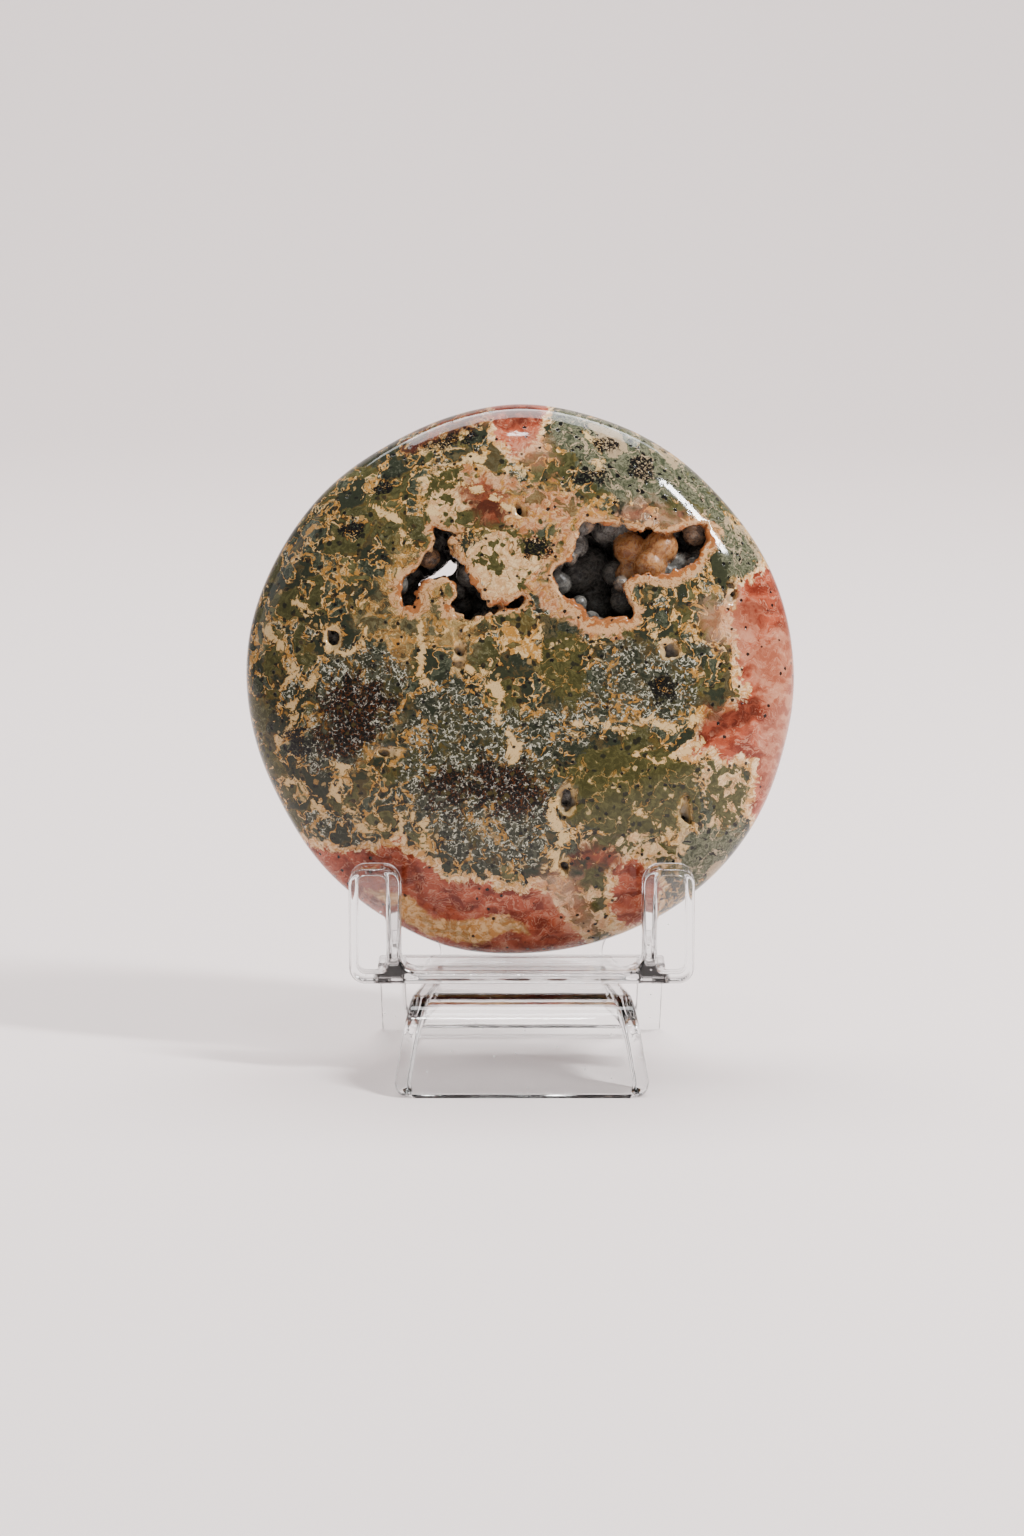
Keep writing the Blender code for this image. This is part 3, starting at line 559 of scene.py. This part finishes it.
class Shader:
    """A Principled material whose nodes are made by one method."""

    def __init__(self, name):
        self.material = bpy.data.materials.new(name)
        self.material.use_nodes = True
        self.tree = self.material.node_tree
        self.surface = self.tree.nodes["Principled BSDF"]

    def set(self, target, value):
        if isinstance(value, Socket):
            self.tree.links.new(value.socket, target)
        elif target.type == "RGBA":
            target.default_value = (*value, 1.0)
        else:
            target.default_value = value

    def node(self, kind, inputs=(), **options):
        """Add a node, set its options and inputs, and give back its outputs as sockets."""
        made = self.tree.nodes.new(kind)
        for option, value in options.items():
            setattr(made, option, value)
        pairs = inputs.items() if isinstance(inputs, dict) else enumerate(inputs)
        for key, value in pairs:
            self.set(made.inputs[key], value)
        return [Socket(self, output) for output in made.outputs]

    def vector(self, operation, *values):
        return self.node("ShaderNodeVectorMath", values, operation=operation)[0]

    def place(self, centre=(0.0, 0.0, 0.0), turn=0.0):
        """The place in millimetres, turned about the sideways axis and counted from a centre."""
        inputs = {"Vector": self.node("ShaderNodeTexCoord")[3], "Scale": (1 / MM,) * 3}
        inputs |= {"Location": tuple(-c for c in centre), "Rotation": (turn, 0.0, 0.0)}
        return self.node("ShaderNodeMapping", inputs, vector_type="POINT")[0]

    def attribute(self, name):
        return self.node("ShaderNodeAttribute", attribute_name=name)[2]

    def noise(self, place, scale, detail=2.0, rough=0.5, shift=0.0):
        moved = self.vector("ADD", place, (shift, 1.7 * shift, -shift))
        inputs = {"Vector": moved, "Scale": scale, "Detail": detail, "Roughness": rough}
        return self.node("ShaderNodeTexNoise", inputs)

    def cells(self, place, scale, feature="F1"):
        return self.node("ShaderNodeTexVoronoi", {"Vector": place, "Scale": scale}, feature=feature)

    def bump(self, height, strength, reach):
        inputs = {"Height": height, "Strength": strength, "Distance": reach}
        return self.node("ShaderNodeBump", inputs)[0]

    def mix(self, share, a, b):
        """Colour a where share is 0, and b where it is 1."""
        return self.node("ShaderNodeMix", {0: share, 6: a, 7: b}, data_type="RGBA")[2]

    def warped(self, place, scale, reach, shift=0.0):
        """The place pushed about by a coloured noise, by up to reach."""
        push = self.noise(place, scale, shift=shift)[1]
        moved = self.vector("MULTIPLY_ADD", push, (reach,) * 3, place)
        return self.vector("SUBTRACT", moved, (reach / 2,) * 3)

    def finish(self, **inputs):
        for name, value in inputs.items():
            self.set(self.surface.inputs[name.replace("_", " ")], value)
        return self.material


def stone_material():
    """Polished rock: a mottled olive, cream and ochre ground, with each zone's own rock over it."""
    s = Shader("polished rhodochrosite rock")
    place = s.place(STONE_AXES @ STONE_CENTRE, LEAN - math.pi / 2)

    # Noises and cells, and what is drawn with them
    ragged = s.warped(s.warped(place, 0.4, 3.0), 1.5, 1.0, 5.0)
    broad = s.noise(place, 0.13, shift=3.0)[0]
    middle = s.noise(ragged, 0.6, 4.0, 0.6, 9.0)[0]
    small = s.noise(ragged, 1.5, 4.0, 0.65, 14.0)[0]
    grain = s.noise(place, 3.4, 3.0, 0.7, 21.0)[0]
    pepper = grain.rise(0.5, 0.62)
    patch = 0.26
    which = s.node("ShaderNodeSeparateColor", (s.cells(ragged, patch)[1],))
    seams = s.cells(ragged, patch, "DISTANCE_TO_EDGE")[0]
    veins = (seams + (small - 0.5) * 0.3).fall(0.03, 0.07) * middle.rise(0.42, 0.48)
    fine_cells = s.cells(s.warped(place, 1.3, 0.7, 2.0), 1.05)
    fine_which = s.node("ShaderNodeSeparateColor", (fine_cells[1],))
    core = fine_cells[0].fall(0.28, 0.44)
    dark_flecks = fine_which[1].rise(0.72, 0.74) * core
    pale_flecks = fine_which[0].rise(0.78, 0.8) * core
    blobs = (fine_which[2].rise(0.45, 0.47) * core).most(which[1].rise(0.5, 0.53))
    blobs = blobs * middle.rise(0.43, 0.47)
    ridges = s.noise(s.warped(place, 1.0, 0.8, 8.0), 0.95, 2.0, 0.7, 31.0)[0]
    gaps = s.noise(place, 1.6, 2.0, 0.6, 40.0)[0]
    # Fine pale strokes: silvery streaks in the rock, and painted glints for the white sparkle of
    # tiny crystals
    silver_strokes_and_glints = ridges.near(0.5, 0.01, 0.042) * gaps.rise(0.38, 0.5)
    shore = s.noise(ragged, 0.32, 3.0, 0.52, 52.0)[0]
    threads = shore.near(0.47, 0.006, 0.014)
    dark_threads = shore.near(0.494, 0.005, 0.011)

    def mottled(first, second, low=0.4, high=0.6):
        """Two colours in small ragged spots."""
        return s.mix(small.rise(low, high), first, second)

    def zone(name, wobble, soft=0.12, grow=0.0):
        """1 inside a zone's outline, with its edge made ragged by noise."""
        edge = s.attribute(name) + (middle - 0.5) * (wobble * 2.4) + (small - 0.5) * wobble - grow
        return edge.fall(-soft, soft)

    # The ground: islands of dark green, olive, silver-grey or tan rock with cream and ochre seams
    dark_green, olive = (0.045, 0.052, 0.032), (0.105, 0.1, 0.045)
    cream, ochre, tan = (0.69, 0.52, 0.29), (0.46, 0.26, 0.075), (0.24, 0.18, 0.08)
    green_rock = mottled(dark_green, (0.1, 0.11, 0.075), 0.42)
    # Faint pale strokes on the green rock: partly grey streaks, partly painted glints
    green_rock = green_rock.under(silver_strokes_and_glints * 0.3, (0.3, 0.3, 0.22))
    olive_rock = mottled(olive, (0.17, 0.16, 0.08), 0.4, 0.62)
    silver_rock = mottled((0.02, 0.021, 0.016), (0.11, 0.112, 0.08))
    # Bright strokes on the silver-grey rock: silvery streaks, and painted glints of its sparkle
    silver_rock = silver_rock.under(silver_strokes_and_glints * 0.9, (0.62, 0.6, 0.5))
    fill_rock = mottled(ochre, cream, 0.42).under(pepper * 0.4, tan)
    seam_rock = s.mix((small + (grain - 0.5) * 0.5).rise(0.44, 0.64), ochre, cream)
    plain = mottled((0.085, 0.08, 0.03), (0.14, 0.13, 0.055), 0.42, 0.62)
    kind = which[0] + (broad - 0.5) * 0.5
    fill = (kind + (small - 0.5) * 0.3).rise(0.88, 0.92)
    ground = (
        s.mix(kind.rise(0.42, 0.46), green_rock, olive_rock)
        .under(kind.rise(0.64, 0.68), mottled(green_rock, silver_rock, 0.44, 0.56))
        .under(fill, fill_rock)
        .under(veins * 0.9, seam_rock)
        .under(shore.rise(0.496, 0.504) * 0.85, s.mix(which[2].rise(0.5, 0.55), dark_green, plain))
        .under(shore.near(0.478, 0.014, 0.022), seam_rock)
        .under(dark_threads * 0.8, (0.03, 0.028, 0.018))
        .under(pale_flecks * middle.rise(0.5, 0.58) * 0.6, s.mix(fine_which[2], ochre, cream))
        .under(dark_flecks * 0.85, (0.022, 0.022, 0.016))
    )

    # Calm rock: plain olive, sage with black specks, tan and cream fields
    flecked = (
        plain.under(dark_flecks * 0.85, (0.03, 0.03, 0.02))
        .under(pale_flecks * middle.rise(0.52, 0.58) * 0.8, cream)
        .under(threads * 0.5, seam_rock)
    )
    sage_rock = (
        mottled((0.09, 0.1, 0.06), (0.25, 0.245, 0.17), 0.38)
        .under(pepper * 0.6, (0.05, 0.055, 0.04))
        .under(dark_flecks.most(small.rise(0.58, 0.62)), (0.015, 0.015, 0.013))
        .under(fill * 0.8, (0.46, 0.36, 0.24))
        .under(threads * 0.8, (0.5, 0.4, 0.28))
    )
    tan_rock = (
        mottled((0.3, 0.18, 0.07), (0.46, 0.34, 0.16))
        .under(pepper * 0.35, (0.17, 0.12, 0.055))
        .under(shore.rise(0.525, 0.535) * 0.75, green_rock)
        .under(threads.most(veins) * 0.8, seam_rock)
        .under(dark_flecks.most(dark_threads) * 0.7, dark_green)
    )
    cream_rock = (
        mottled((0.58, 0.38, 0.2), (0.74, 0.57, 0.35), 0.4, 0.62)
        .under(grain.rise(0.52, 0.64) * 0.3, (0.3, 0.2, 0.1))
        .under(threads * 0.7, (0.4, 0.21, 0.08))
        .under(blobs.most(dark_threads * 0.6), plain)
    )

    # The brown-black patches of tiny crystals, and peach rock
    druse_rock = (
        s.mix(pepper, (0.008, 0.007, 0.005), (0.14, 0.055, 0.016))
        .under(fine_which[2].rise(0.7, 0.74) * core, (0.1, 0.08, 0.03))
        # Pale strokes over the crystals: silvery streaks, and painted glints of their sparkle
        .under(silver_strokes_and_glints * 0.65 * small.rise(0.44, 0.58), (0.6, 0.58, 0.52))
    )
    peach_rock = (
        mottled((0.46, 0.22, 0.11), (0.62, 0.41, 0.25))
        .under(pepper * 0.35, (0.26, 0.12, 0.055))
        .under(dark_flecks.most(shore.rise(0.57, 0.58) * 0.7), plain)
        .under(dark_threads * 0.6, (0.2, 0.09, 0.04))
        .under(veins.most(threads) * 0.8, seam_rock)
    )

    # Rhodochrosite: pink with growth bands, paler and deeper parts, and a cream and ochre rim
    stretched = s.vector("MULTIPLY", ragged, (0.6, 1.3, 0.6))
    streaks = s.noise(stretched, 0.5, 5.0, 0.6)[0]
    bands = s.noise(stretched, 0.36, 3.0, 0.55, 70.0)[0]
    bands = bands.near(0.5, 0.004, 0.016).most(bands.near(0.56, 0.004, 0.012) * 0.7)
    pink_rock = (
        s.mix(streaks.rise(0.36, 0.6), (0.2, 0.042, 0.022), (0.42, 0.125, 0.07))
        .under(streaks.rise(0.56, 0.72) * 0.75, (0.6, 0.31, 0.21))
        .under(grain.rise(0.58, 0.7) * 0.35, (0.6, 0.33, 0.23))
        .under(bands * 0.45, (0.68, 0.42, 0.3))
    )
    pale_rock = s.mix(streaks.rise(0.4, 0.6), (0.5, 0.22, 0.14), (0.62, 0.4, 0.28))
    deep_rock = s.mix(streaks.rise(0.4, 0.62), (0.12, 0.03, 0.018), (0.3, 0.09, 0.05))
    rim_rock = mottled((0.54, 0.31, 0.12), (0.78, 0.6, 0.39))
    streak_rock = mottled((0.56, 0.29, 0.11), (0.77, 0.54, 0.3))
    streak_rock = streak_rock.under(blobs * 0.3, (0.11, 0.08, 0.035))

    # Drawn seams, a crust of cream and burnt orange round the hollows and pits, and black dots
    line = s.attribute("seam") + (small - 0.5) * 2.2 + (middle - 0.5) * 5.0 + 0.15
    seam_tint = s.mix((line + (grain - 0.5) * 0.6).rise(-0.3, 0.15), cream, ochre)
    mouth = s.attribute("mouth") + (small - 0.5) * 2.4 + (middle - 0.5) * 3.2 + (broad - 0.5) * 4.0
    crust = (
        s.mix((mouth + (grain - 0.5) * 0.6).rise(0.1, 0.45), (0.38, 0.16, 0.06), (0.6, 0.4, 0.23))
        .under(mouth.rise(0.7, 1.1) * middle.rise(0.44, 0.52), (0.4, 0.19, 0.07))
        .under(dark_threads * 0.7, (0.3, 0.15, 0.06))
    )
    pit = s.attribute("pit") + (small - 0.5) * 1.6
    dots = (s.cells(place, 0.6)[0] + (grain - 0.5) * 0.24).fall(0.11, 0.17)

    # Down in the hollows: grey-black lumps, some brown and orange, with pale strokes on them that
    # are partly a grey bloom and partly painted glints
    inside = s.attribute("inside")
    wall = (inside + (small - 0.5) * 1.2).rise(0.35, 1.7)
    orange = (s.attribute("orange") + (small - 0.5) * 0.5).rise(0.3, 0.7)
    lump_rock = (
        mottled((0.11, 0.105, 0.1), (0.26, 0.25, 0.23), 0.35, 0.65)
        .under(orange, mottled((0.3, 0.14, 0.06), (0.5, 0.29, 0.14), 0.35))
        .under(silver_strokes_and_glints * 0.3, (0.35, 0.36, 0.34))
    )

    # All of them laid over the ground, the last one on top
    silver, druse = zone("silver", 3.0, 0.8), zone("druse", 4.5, 1.2, 0.6)
    pores = s.noise(place, 7.0, 2.0, 0.7, 61.0)[0].rise(0.55, 0.68)
    pores = pores * (1.0 - zone("pink", 1.1, 0.3) * 0.75) * (1.0 - wall)
    colour = (
        ground.under(zone("olive", 1.8), flecked)
        .under(zone("sage", 2.4), sage_rock)
        .under(zone("tan", 1.8, 0.5) * 0.8, tan_rock)
        .under(zone("cream", 2.2, 0.3), cream_rock)
        .under(silver * small.rise(0.4, 0.52) * (1.0 - veins * 0.5), silver_rock)
        .under(druse * 0.96, druse_rock)
        .under(zone("peach", 2.6, 0.5, 0.3) * 0.95, peach_rock)
        .under(zone("pink", 1.7, 0.15, 0.95), rim_rock)
        .under(zone("pink", 1.7, 0.2), pink_rock)
        .under(zone("pale", 2.6, 1.6) * 0.55, pale_rock)
        .under(zone("deep", 2.0, 1.0) * 0.85, deep_rock)
        .under(zone("streak", 0.8, 0.25), streak_rock)
        .under(line.fall(-0.05, 0.1) * 0.9, seam_tint)
        .under(zone("black", 2.2, 0.3, 0.2) * grain.rise(0.38, 0.5), (0.012, 0.011, 0.01))
        .under(mouth.fall(1.0, 1.25) * 0.92, crust)
        .under(pit.fall(0.05, 0.45) * 0.65, s.mix(pit.rise(0.05, 0.25), cream, ochre))
        .under(dots * 0.92, (0.008, 0.008, 0.007))
        .under(wall, lump_rock)
        .under(pores * 0.4, (0.02, 0.018, 0.012))
    )
    colour = s.node("ShaderNodeGamma", {"Color": colour, "Gamma": 1.33})[0]

    # The polish: duller over crystals and inside the hollows, with dots and flecks sunk a little
    crystals = druse.most(silver * 0.4)
    rough = 0.04 + grain * 0.03 + crystals * 0.1 + inside.rise(0.1, 0.6) * 0.16
    height = silver_strokes_and_glints * crystals * 0.6 - dots * 0.8 - dark_flecks * 0.15 + grain * 0.02
    height = height + inside.rise(0.3, 1.2) * grain * 1.2
    bump = s.bump(height, 0.4, 0.0001)
    return s.finish(Base_Color=colour, Roughness=rough, IOR=1.34, Normal=bump)


placed = STONE_CENTRE + stone_points @ STONE_AXES
rock = stone_material()
stone = finished("palm_stone_looks", placed, stone_faces, rock, "palm_stone")
for name, values in known.items():
    layer = stone.data.attributes.new(name, "FLOAT", "POINT")
    layer.data.foreach_set("value", values.astype(np.float32))


# The cradle: the upper piece of the easel, injection moulded in clear acrylic with rounded edges.
# Its two front arms have pockets behind, the ledge carries the stone, and the rear legs end in a
# bar. The foot passes through its window, which holds the two together.

# How far the foot's front edge is in front of the frame's middle
STAND_BACK = 20.077
LEDGE_MIDDLE, HALF_SHEET, CRADLE_HALF_WIDTH = 12.3, 0.7, 18.2
# Each as a middle and a half: from front to back for the arms and pockets, sideways for the webs
ARM_MIDDLE, ARM_HALF = 14.3, 2.3
POCKET_MIDDLE, POCKET_HALF = 15.7, 2.5
WEB_MIDDLE, WEB_HALF = 15.95, 0.74
WINDOW_FROM = 23.5
# Before they are cut, sheets run on below the floor and half outlines run on past the middle
BELOW_FLOOR, PAST_MIDDLE = 3, -4.0
FLOOR_ROUNDING = 0.15


def arc(centre, radius, start, end, steps=6):
    """Points of an arc in degrees."""
    turns = np.radians(np.linspace(start, end, steps + 1))
    return [(centre[0] + radius * math.cos(a), centre[1] + radius * math.sin(a)) for a in turns]


def rounded_box(left, right, bottom, top, radius):
    """A rectangle with round corners."""
    left, right, bottom, top = left + radius, right - radius, bottom + radius, top - radius
    centres = ((right, bottom), (right, top), (left, top), (left, bottom))
    return sum((arc(c, radius, 90 * i - 90, 90 * i) for i, c in enumerate(centres)), [])


def rounded_path(corners, radii, steps=14):
    """A path through corners, with an arc at each inner one: the spokes to the arc's two ends,
    weighed by sin((1 - s) turn) and sin(s turn) over sin(turn)."""
    path = [np.array(corners[0])]
    for before, corner, after, radius in zip(corners, corners[1:], corners[2:], radii):
        back = np.subtract(before, corner) / np.linalg.norm(np.subtract(before, corner))
        ahead = np.subtract(after, corner) / np.linalg.norm(np.subtract(after, corner))
        half = math.acos(back @ ahead) / 2
        middle = (back + ahead) / np.linalg.norm(back + ahead)
        centre = corner + middle * radius / math.sin(half)
        first = corner + back * radius / math.tan(half) - centre
        last = corner + ahead * radius / math.tan(half) - centre
        turn = math.pi - 2 * half
        for share in np.linspace(0, 1, steps + 1):
            swung = first * math.sin((1 - share) * turn) + last * math.sin(share * turn)
            path.append(centre + swung / math.sin(turn))
    path.append(np.array(corners[-1]))
    return np.array(path)


def off_and_along(y, z, path):
    """How far left of a path, and how far along it, each point lies, by its nearest segment."""
    y, z = np.broadcast_arrays(y, z)
    least = np.full(y.shape, np.inf)
    off, along = np.zeros(y.shape), np.zeros(y.shape)
    start = 0.0
    for i, (a, b) in enumerate(zip(path, path[1:])):
        length = np.linalg.norm(b - a)
        way = (b - a) / length
        run = (y - a[0]) * way[0] + (z - a[1]) * way[1]
        side = (z - a[1]) * way[0] - (y - a[0]) * way[1]
        kept = np.clip(run, -np.inf if i == 0 else 0, np.inf if i == len(path) - 2 else length)
        away = np.hypot(side, run - kept)
        nearer = away < least
        least = np.where(nearer, away, least)
        off = np.where(nearer, np.copysign(away, side), off)
        along = np.where(nearer, start + kept, along)
        start += length
    return off, along


def both(a, b, radius):
    """Inside both fields, with the edge where they meet rounded to a radius."""
    outer = np.hypot(np.maximum(a + radius, 0), np.maximum(b + radius, 0))
    return outer + np.minimum(np.maximum(a, b) + radius, 0) - radius


ledge_top, ledge_under = LEDGE_MIDDLE + HALF_SHEET, LEDGE_MIDDLE - HALF_SHEET
arm_outline = (
    arc((19.6, ledge_under + 2.0), 2.0, -90, 0)
    + arc((19.6, 24.3), 2.0, 0, 90)
    + arc((17.2, 24.3), 2.0, 90, 180)
    + arc((12.8, ledge_top + 2.4), 2.4, 0, -90)
    + [(PAST_MIDDLE, ledge_top), (PAST_MIDDLE, ledge_under)]
)
pocket_outline = rounded_box(16.7, 20.65, ledge_under + 1.1, 25.35, 1.1)
web_outline = (
    (14.0, 24.4), (16.6, 24.4), (17.1, 22.2), (17.9, 20.0), (19.2, 17.6), (20.5, 15.6),
    (22.0, 13.0), (22.0, 12.2), (14.0, 12.2),
)
window_outline = rounded_box(-14.9, 14.9, 2.5, 20.0, 2.0)
ledge_front, leg_bend = np.array((13.0, LEDGE_MIDDLE)), np.array((24.5, LEDGE_MIDDLE))
leg_foot = np.array((36.8, 0.0))
leg_slope = (leg_foot - leg_bend) / np.linalg.norm(leg_foot - leg_bend)
cradle_path = rounded_path((ledge_front, leg_bend, leg_foot + BELOW_FLOOR * leg_slope), (5.0,))


def cradle_field(x, y, z):
    """The bent ledge and legs joined to the arms and webs, less the pockets and the window, all
    with round edges, and cut off flat at the floor."""
    side = np.abs(x)
    off = np.abs(off_and_along(y, z, cradle_path)[0])
    sheet = both(off - HALF_SHEET, side - CRADLE_HALF_WIDTH, 0.35)
    sheet = np.maximum(sheet, ledge_front[0] - y)
    arms = outline_distance(side, z, arm_outline)
    arms = both(arms, np.abs(y - ARM_MIDDLE) - ARM_HALF, 0.5)
    pocket = outline_distance(side, z, pocket_outline)
    pocket = np.maximum(pocket, np.abs(y - POCKET_MIDDLE) - POCKET_HALF)
    web = outline_distance(y, z, web_outline)
    web = both(web, np.abs(side - WEB_MIDDLE) - WEB_HALF, 0.4)
    window = np.maximum(outline_distance(x, z, window_outline), WINDOW_FROM - y)
    solid = larger(smaller(sheet, arms, 0.6), -pocket, 0.35)
    solid = larger(smaller(solid, web, 0.5), -window, 0.5)
    return larger(solid, -z, FLOOR_ROUNDING)


cradle_axes = [spaced(e, (0.25,)) for e in ((-22.0, 22.0), (11.6, 38.4), (-0.3, 26.7))]


def plastic_material():
    """Clear acrylic: see-through, with faint waves in its faces and a few specks of dust."""
    s = Shader("clear acrylic")
    place = s.place()
    dust = s.cells(place, 0.42)[0] + (s.noise(place, 3.0)[0] - 0.5) * 0.1
    specks = dust.fall(0.045, 0.08)
    wave = s.noise(place, 0.22, 1.0)[0]
    rough = 0.015 + specks * 0.5 + wave.rise(0.5, 0.75) * 0.02
    bump = s.bump(wave + specks * 0.1, 0.12, 0.0002)
    looks = {"Base_Color": (0.97, 0.98, 0.98), "Roughness": rough, "Normal": bump}
    return s.finish(IOR=1.49, Transmission_Weight=1.0, **looks)


acrylic = plastic_material()


def moulded(name, field, axes, node):
    """A clear piece of the stand, set back into the frame."""
    points, faces = surface_of(field, axes)
    finished(name, points - (0.0, STAND_BACK, 0.0), faces, acrylic, node)


moulded("stand_cradle_looks", cradle_field, cradle_axes, "stand_cradle")


# The foot and back rest: the lower piece of the easel, one bent sheet of the same acrylic, pushed
# through the cradle's window. A rib runs under each edge of the foot, and the sheet ends above in
# the fork that the stone's back leans on.

FOOT_HALF_SHEET, FOOT_HEIGHT = 0.8, 10.35
FOOT_HALF_WIDTH, FOOT_TAPER, FOOT_CORNER = 15.9, 0.165, 2.2
# The rest widens from here along the sheet, over this length
REST_FROM, REST_OVER = 33.0, 9.0
REST_HALF_WIDTH, PRONG_ROUND = 14.0, 3.0
RIB_DEPTH, RIB_INSET, RIB_HALF_WIDTH = 2.4, 0.8, 0.75
RIB_FADES_FROM, RIB_END = 11, 25

foot_edge, foot_bend = np.array((0.8, 0.0)), np.array((5.0, FOOT_HEIGHT))
rest_bend, rest_top = np.array((28.5, FOOT_HEIGHT)), np.array((38.8, 38.6))
foot_slope = (foot_bend - foot_edge) / np.linalg.norm(foot_bend - foot_edge)
foot_start = foot_edge - BELOW_FLOOR * foot_slope
foot_path = rounded_path((foot_start, foot_bend, rest_bend, rest_top), (6.5, 7.0))
foot_end = np.linalg.norm(np.diff(foot_path, axis=0), axis=1).sum() - BELOW_FLOOR


def corner_cut(distance, radius):
    """What a round corner takes off near an end: r - sqrt(r^2 - (r - d)^2)."""
    short = radius - np.clip(distance, 0, radius)
    return radius - np.sqrt(radius**2 - short**2)


def foot_half_width(along):
    """15.9 - 0.165 s, rounded at the floor, then 14 for the rest, with round ends."""
    width = FOOT_HALF_WIDTH - FOOT_TAPER * along - corner_cut(along, FOOT_CORNER)
    share = np.clip((along - REST_FROM) / REST_OVER, 0, 1)
    width = width + (REST_HALF_WIDTH - width) * share * share * (3 - 2 * share)
    return width - corner_cut(foot_end - along, PRONG_ROUND)


prong_from, slot_corner, slot_floor = foot_end - PRONG_ROUND, foot_end - 19, foot_end - 22
edge_stations = np.concatenate((
    np.linspace(-BELOW_FLOOR, 0, 3)[:-1],
    np.linspace(0, FOOT_CORNER, 9),
    np.linspace(3, prong_from, 70),
    prong_from + PRONG_ROUND * np.sin(np.linspace(0.1, math.pi / 2, 10)),
))
flat_outline = (
    [(PAST_MIDDLE, -BELOW_FLOOR)]
    + list(zip(foot_half_width(edge_stations), edge_stations))
    + arc((11.0, prong_from), PRONG_ROUND, 95, 180)
    + arc((5.0, slot_corner), PRONG_ROUND, 0, -90)
    + [(PAST_MIDDLE, slot_floor)]
)
flat_sheet = Chart(flat_outline, (-1.0, -3.5), (19.0, foot_end + 2.5))


def foot_field(x, y, z):
    """The sheet where its path passes, cut to its flat outline, with a rib under each edge that
    follows the foot's corner and fades out below the ledge, cut off flat at the floor."""
    side = np.abs(x)
    off, along = off_and_along(y, z, foot_path)
    along = along - BELOW_FLOOR
    sheet = flat_sheet(*np.broadcast_arrays(side, along))
    sheet = both(sheet, np.abs(off) - FOOT_HALF_SHEET, 0.4)
    fade = np.clip((along - RIB_FADES_FROM) / (RIB_END - RIB_FADES_FROM), 0, 1)
    half_depth = (FOOT_HALF_SHEET + RIB_DEPTH * np.sqrt(1 - fade**2)) / 2
    rib = np.abs(side - foot_half_width(along) + RIB_INSET) - RIB_HALF_WIDTH
    rib = both(rib, np.abs(off + half_depth) - half_depth, 0.45)
    rib = np.maximum(rib, along - RIB_END)
    return larger(smaller(sheet, rib, 0.6), -z, FLOOR_ROUNDING)


foot_axes = [spaced(e, (0.29,)) for e in ((-16.4, 16.4), (-0.6, 40.4), (-0.3, 39.6))]
moulded("stand_foot_rest_looks", foot_field, foot_axes, "stand_foot_rest")


# The set: a plain pale sweep that curves up behind, soft boxes above, at the right, at the left and
# before the wall of the sweep, and the camera where the photograph was taken from, face on to the
# stone. Lengths are in metres here.

SWEEP_FRONT, SWEEP_BEND, SWEEP_RADIUS = -1.2, 0.8, 0.4
SWEEP_HALF_WIDTH, SWEEP_HEIGHT = 1.6, 1.4
CAMERA_DISTANCE = 0.5436


def sweep():
    """A sheet that is flat under the object and curves up behind it."""
    profile = [(SWEEP_FRONT, 0.0), (SWEEP_BEND, 0.0)]
    for turn in np.linspace(0.1, math.pi / 2, 16):
        back, up = SWEEP_RADIUS * math.sin(turn), SWEEP_RADIUS * math.cos(turn)
        profile.append((SWEEP_BEND + back, SWEEP_RADIUS - up))
    profile.append((SWEEP_BEND + SWEEP_RADIUS, SWEEP_HEIGHT))
    points = [(x, y, z) for y, z in profile for x in (-SWEEP_HALF_WIDTH, SWEEP_HALF_WIDTH)]
    faces = [(2 * i, 2 * i + 1, 2 * i + 3, 2 * i + 2) for i in range(len(profile) - 1)]
    paint = Shader("pale sweep").finish(Base_Color=(0.78, 0.69, 0.675), Roughness=0.6)
    meshed("sweep", points, faces, paint)


def set_up(name, data, place, way):
    """A lamp or camera at a place, facing a way."""
    thing = bpy.data.objects.new(name, data)
    bpy.context.scene.collection.objects.link(thing)
    thing.location = place
    thing.rotation_mode = "QUATERNION"
    thing.rotation_quaternion = way.to_track_quat("-Z", "Y")
    return thing


def soft_box(name, place, aim, width, height, power):
    """A white rectangular lamp that faces a point."""
    lamp = bpy.data.lights.new(name, "AREA")
    lamp.shape = "RECTANGLE"
    lamp.size, lamp.size_y = width, height
    lamp.energy = power
    set_up(name, lamp, place, Vector(aim) - Vector(place))


sweep()
middle_of_stone = tuple(STONE_CENTRE * MM)
soft_box("right_strip", (0.42, -0.19, 0.50), middle_of_stone, 0.05, 0.2, 7.0)
soft_box("top_box", (-0.01, -0.15, 0.62), middle_of_stone, 0.06, 0.03, 0.4)
soft_box("overhead", (0.0, 0.32, 0.8), (0.0, 0.2, 0.0), 0.8, 0.4, 10.5)
soft_box("left_edge", (-0.6, 0.05, 0.3), middle_of_stone, 0.3, 0.4, 0.4)
soft_box("wall_light", (0.0, 0.75, 1.2), (0.0, 1.1, 0.2), 1.6, 0.3, 12.0)

world = bpy.data.worlds.new("studio")
bpy.context.scene.world = world
world.use_nodes = True
room = world.node_tree.nodes["Background"]
room.inputs["Color"].default_value = (0.95, 0.93, 0.93, 1.0)
room.inputs["Strength"].default_value = 0.5

camera = bpy.data.cameras.new("camera")
camera.lens = 100
camera.clip_start = 0.01
ahead = Vector((0.0, math.cos(LEAN), -math.sin(LEAN)))
upward = Vector((0.0, math.sin(LEAN), math.cos(LEAN)))
target = Vector(middle_of_stone) - Vector((VIEW_LEFT * MM, 0.0, 0.0)) - upward * VIEW_BELOW * MM
viewer = set_up("camera", camera, target - ahead * CAMERA_DISTANCE, ahead)
bpy.context.scene.camera = viewer
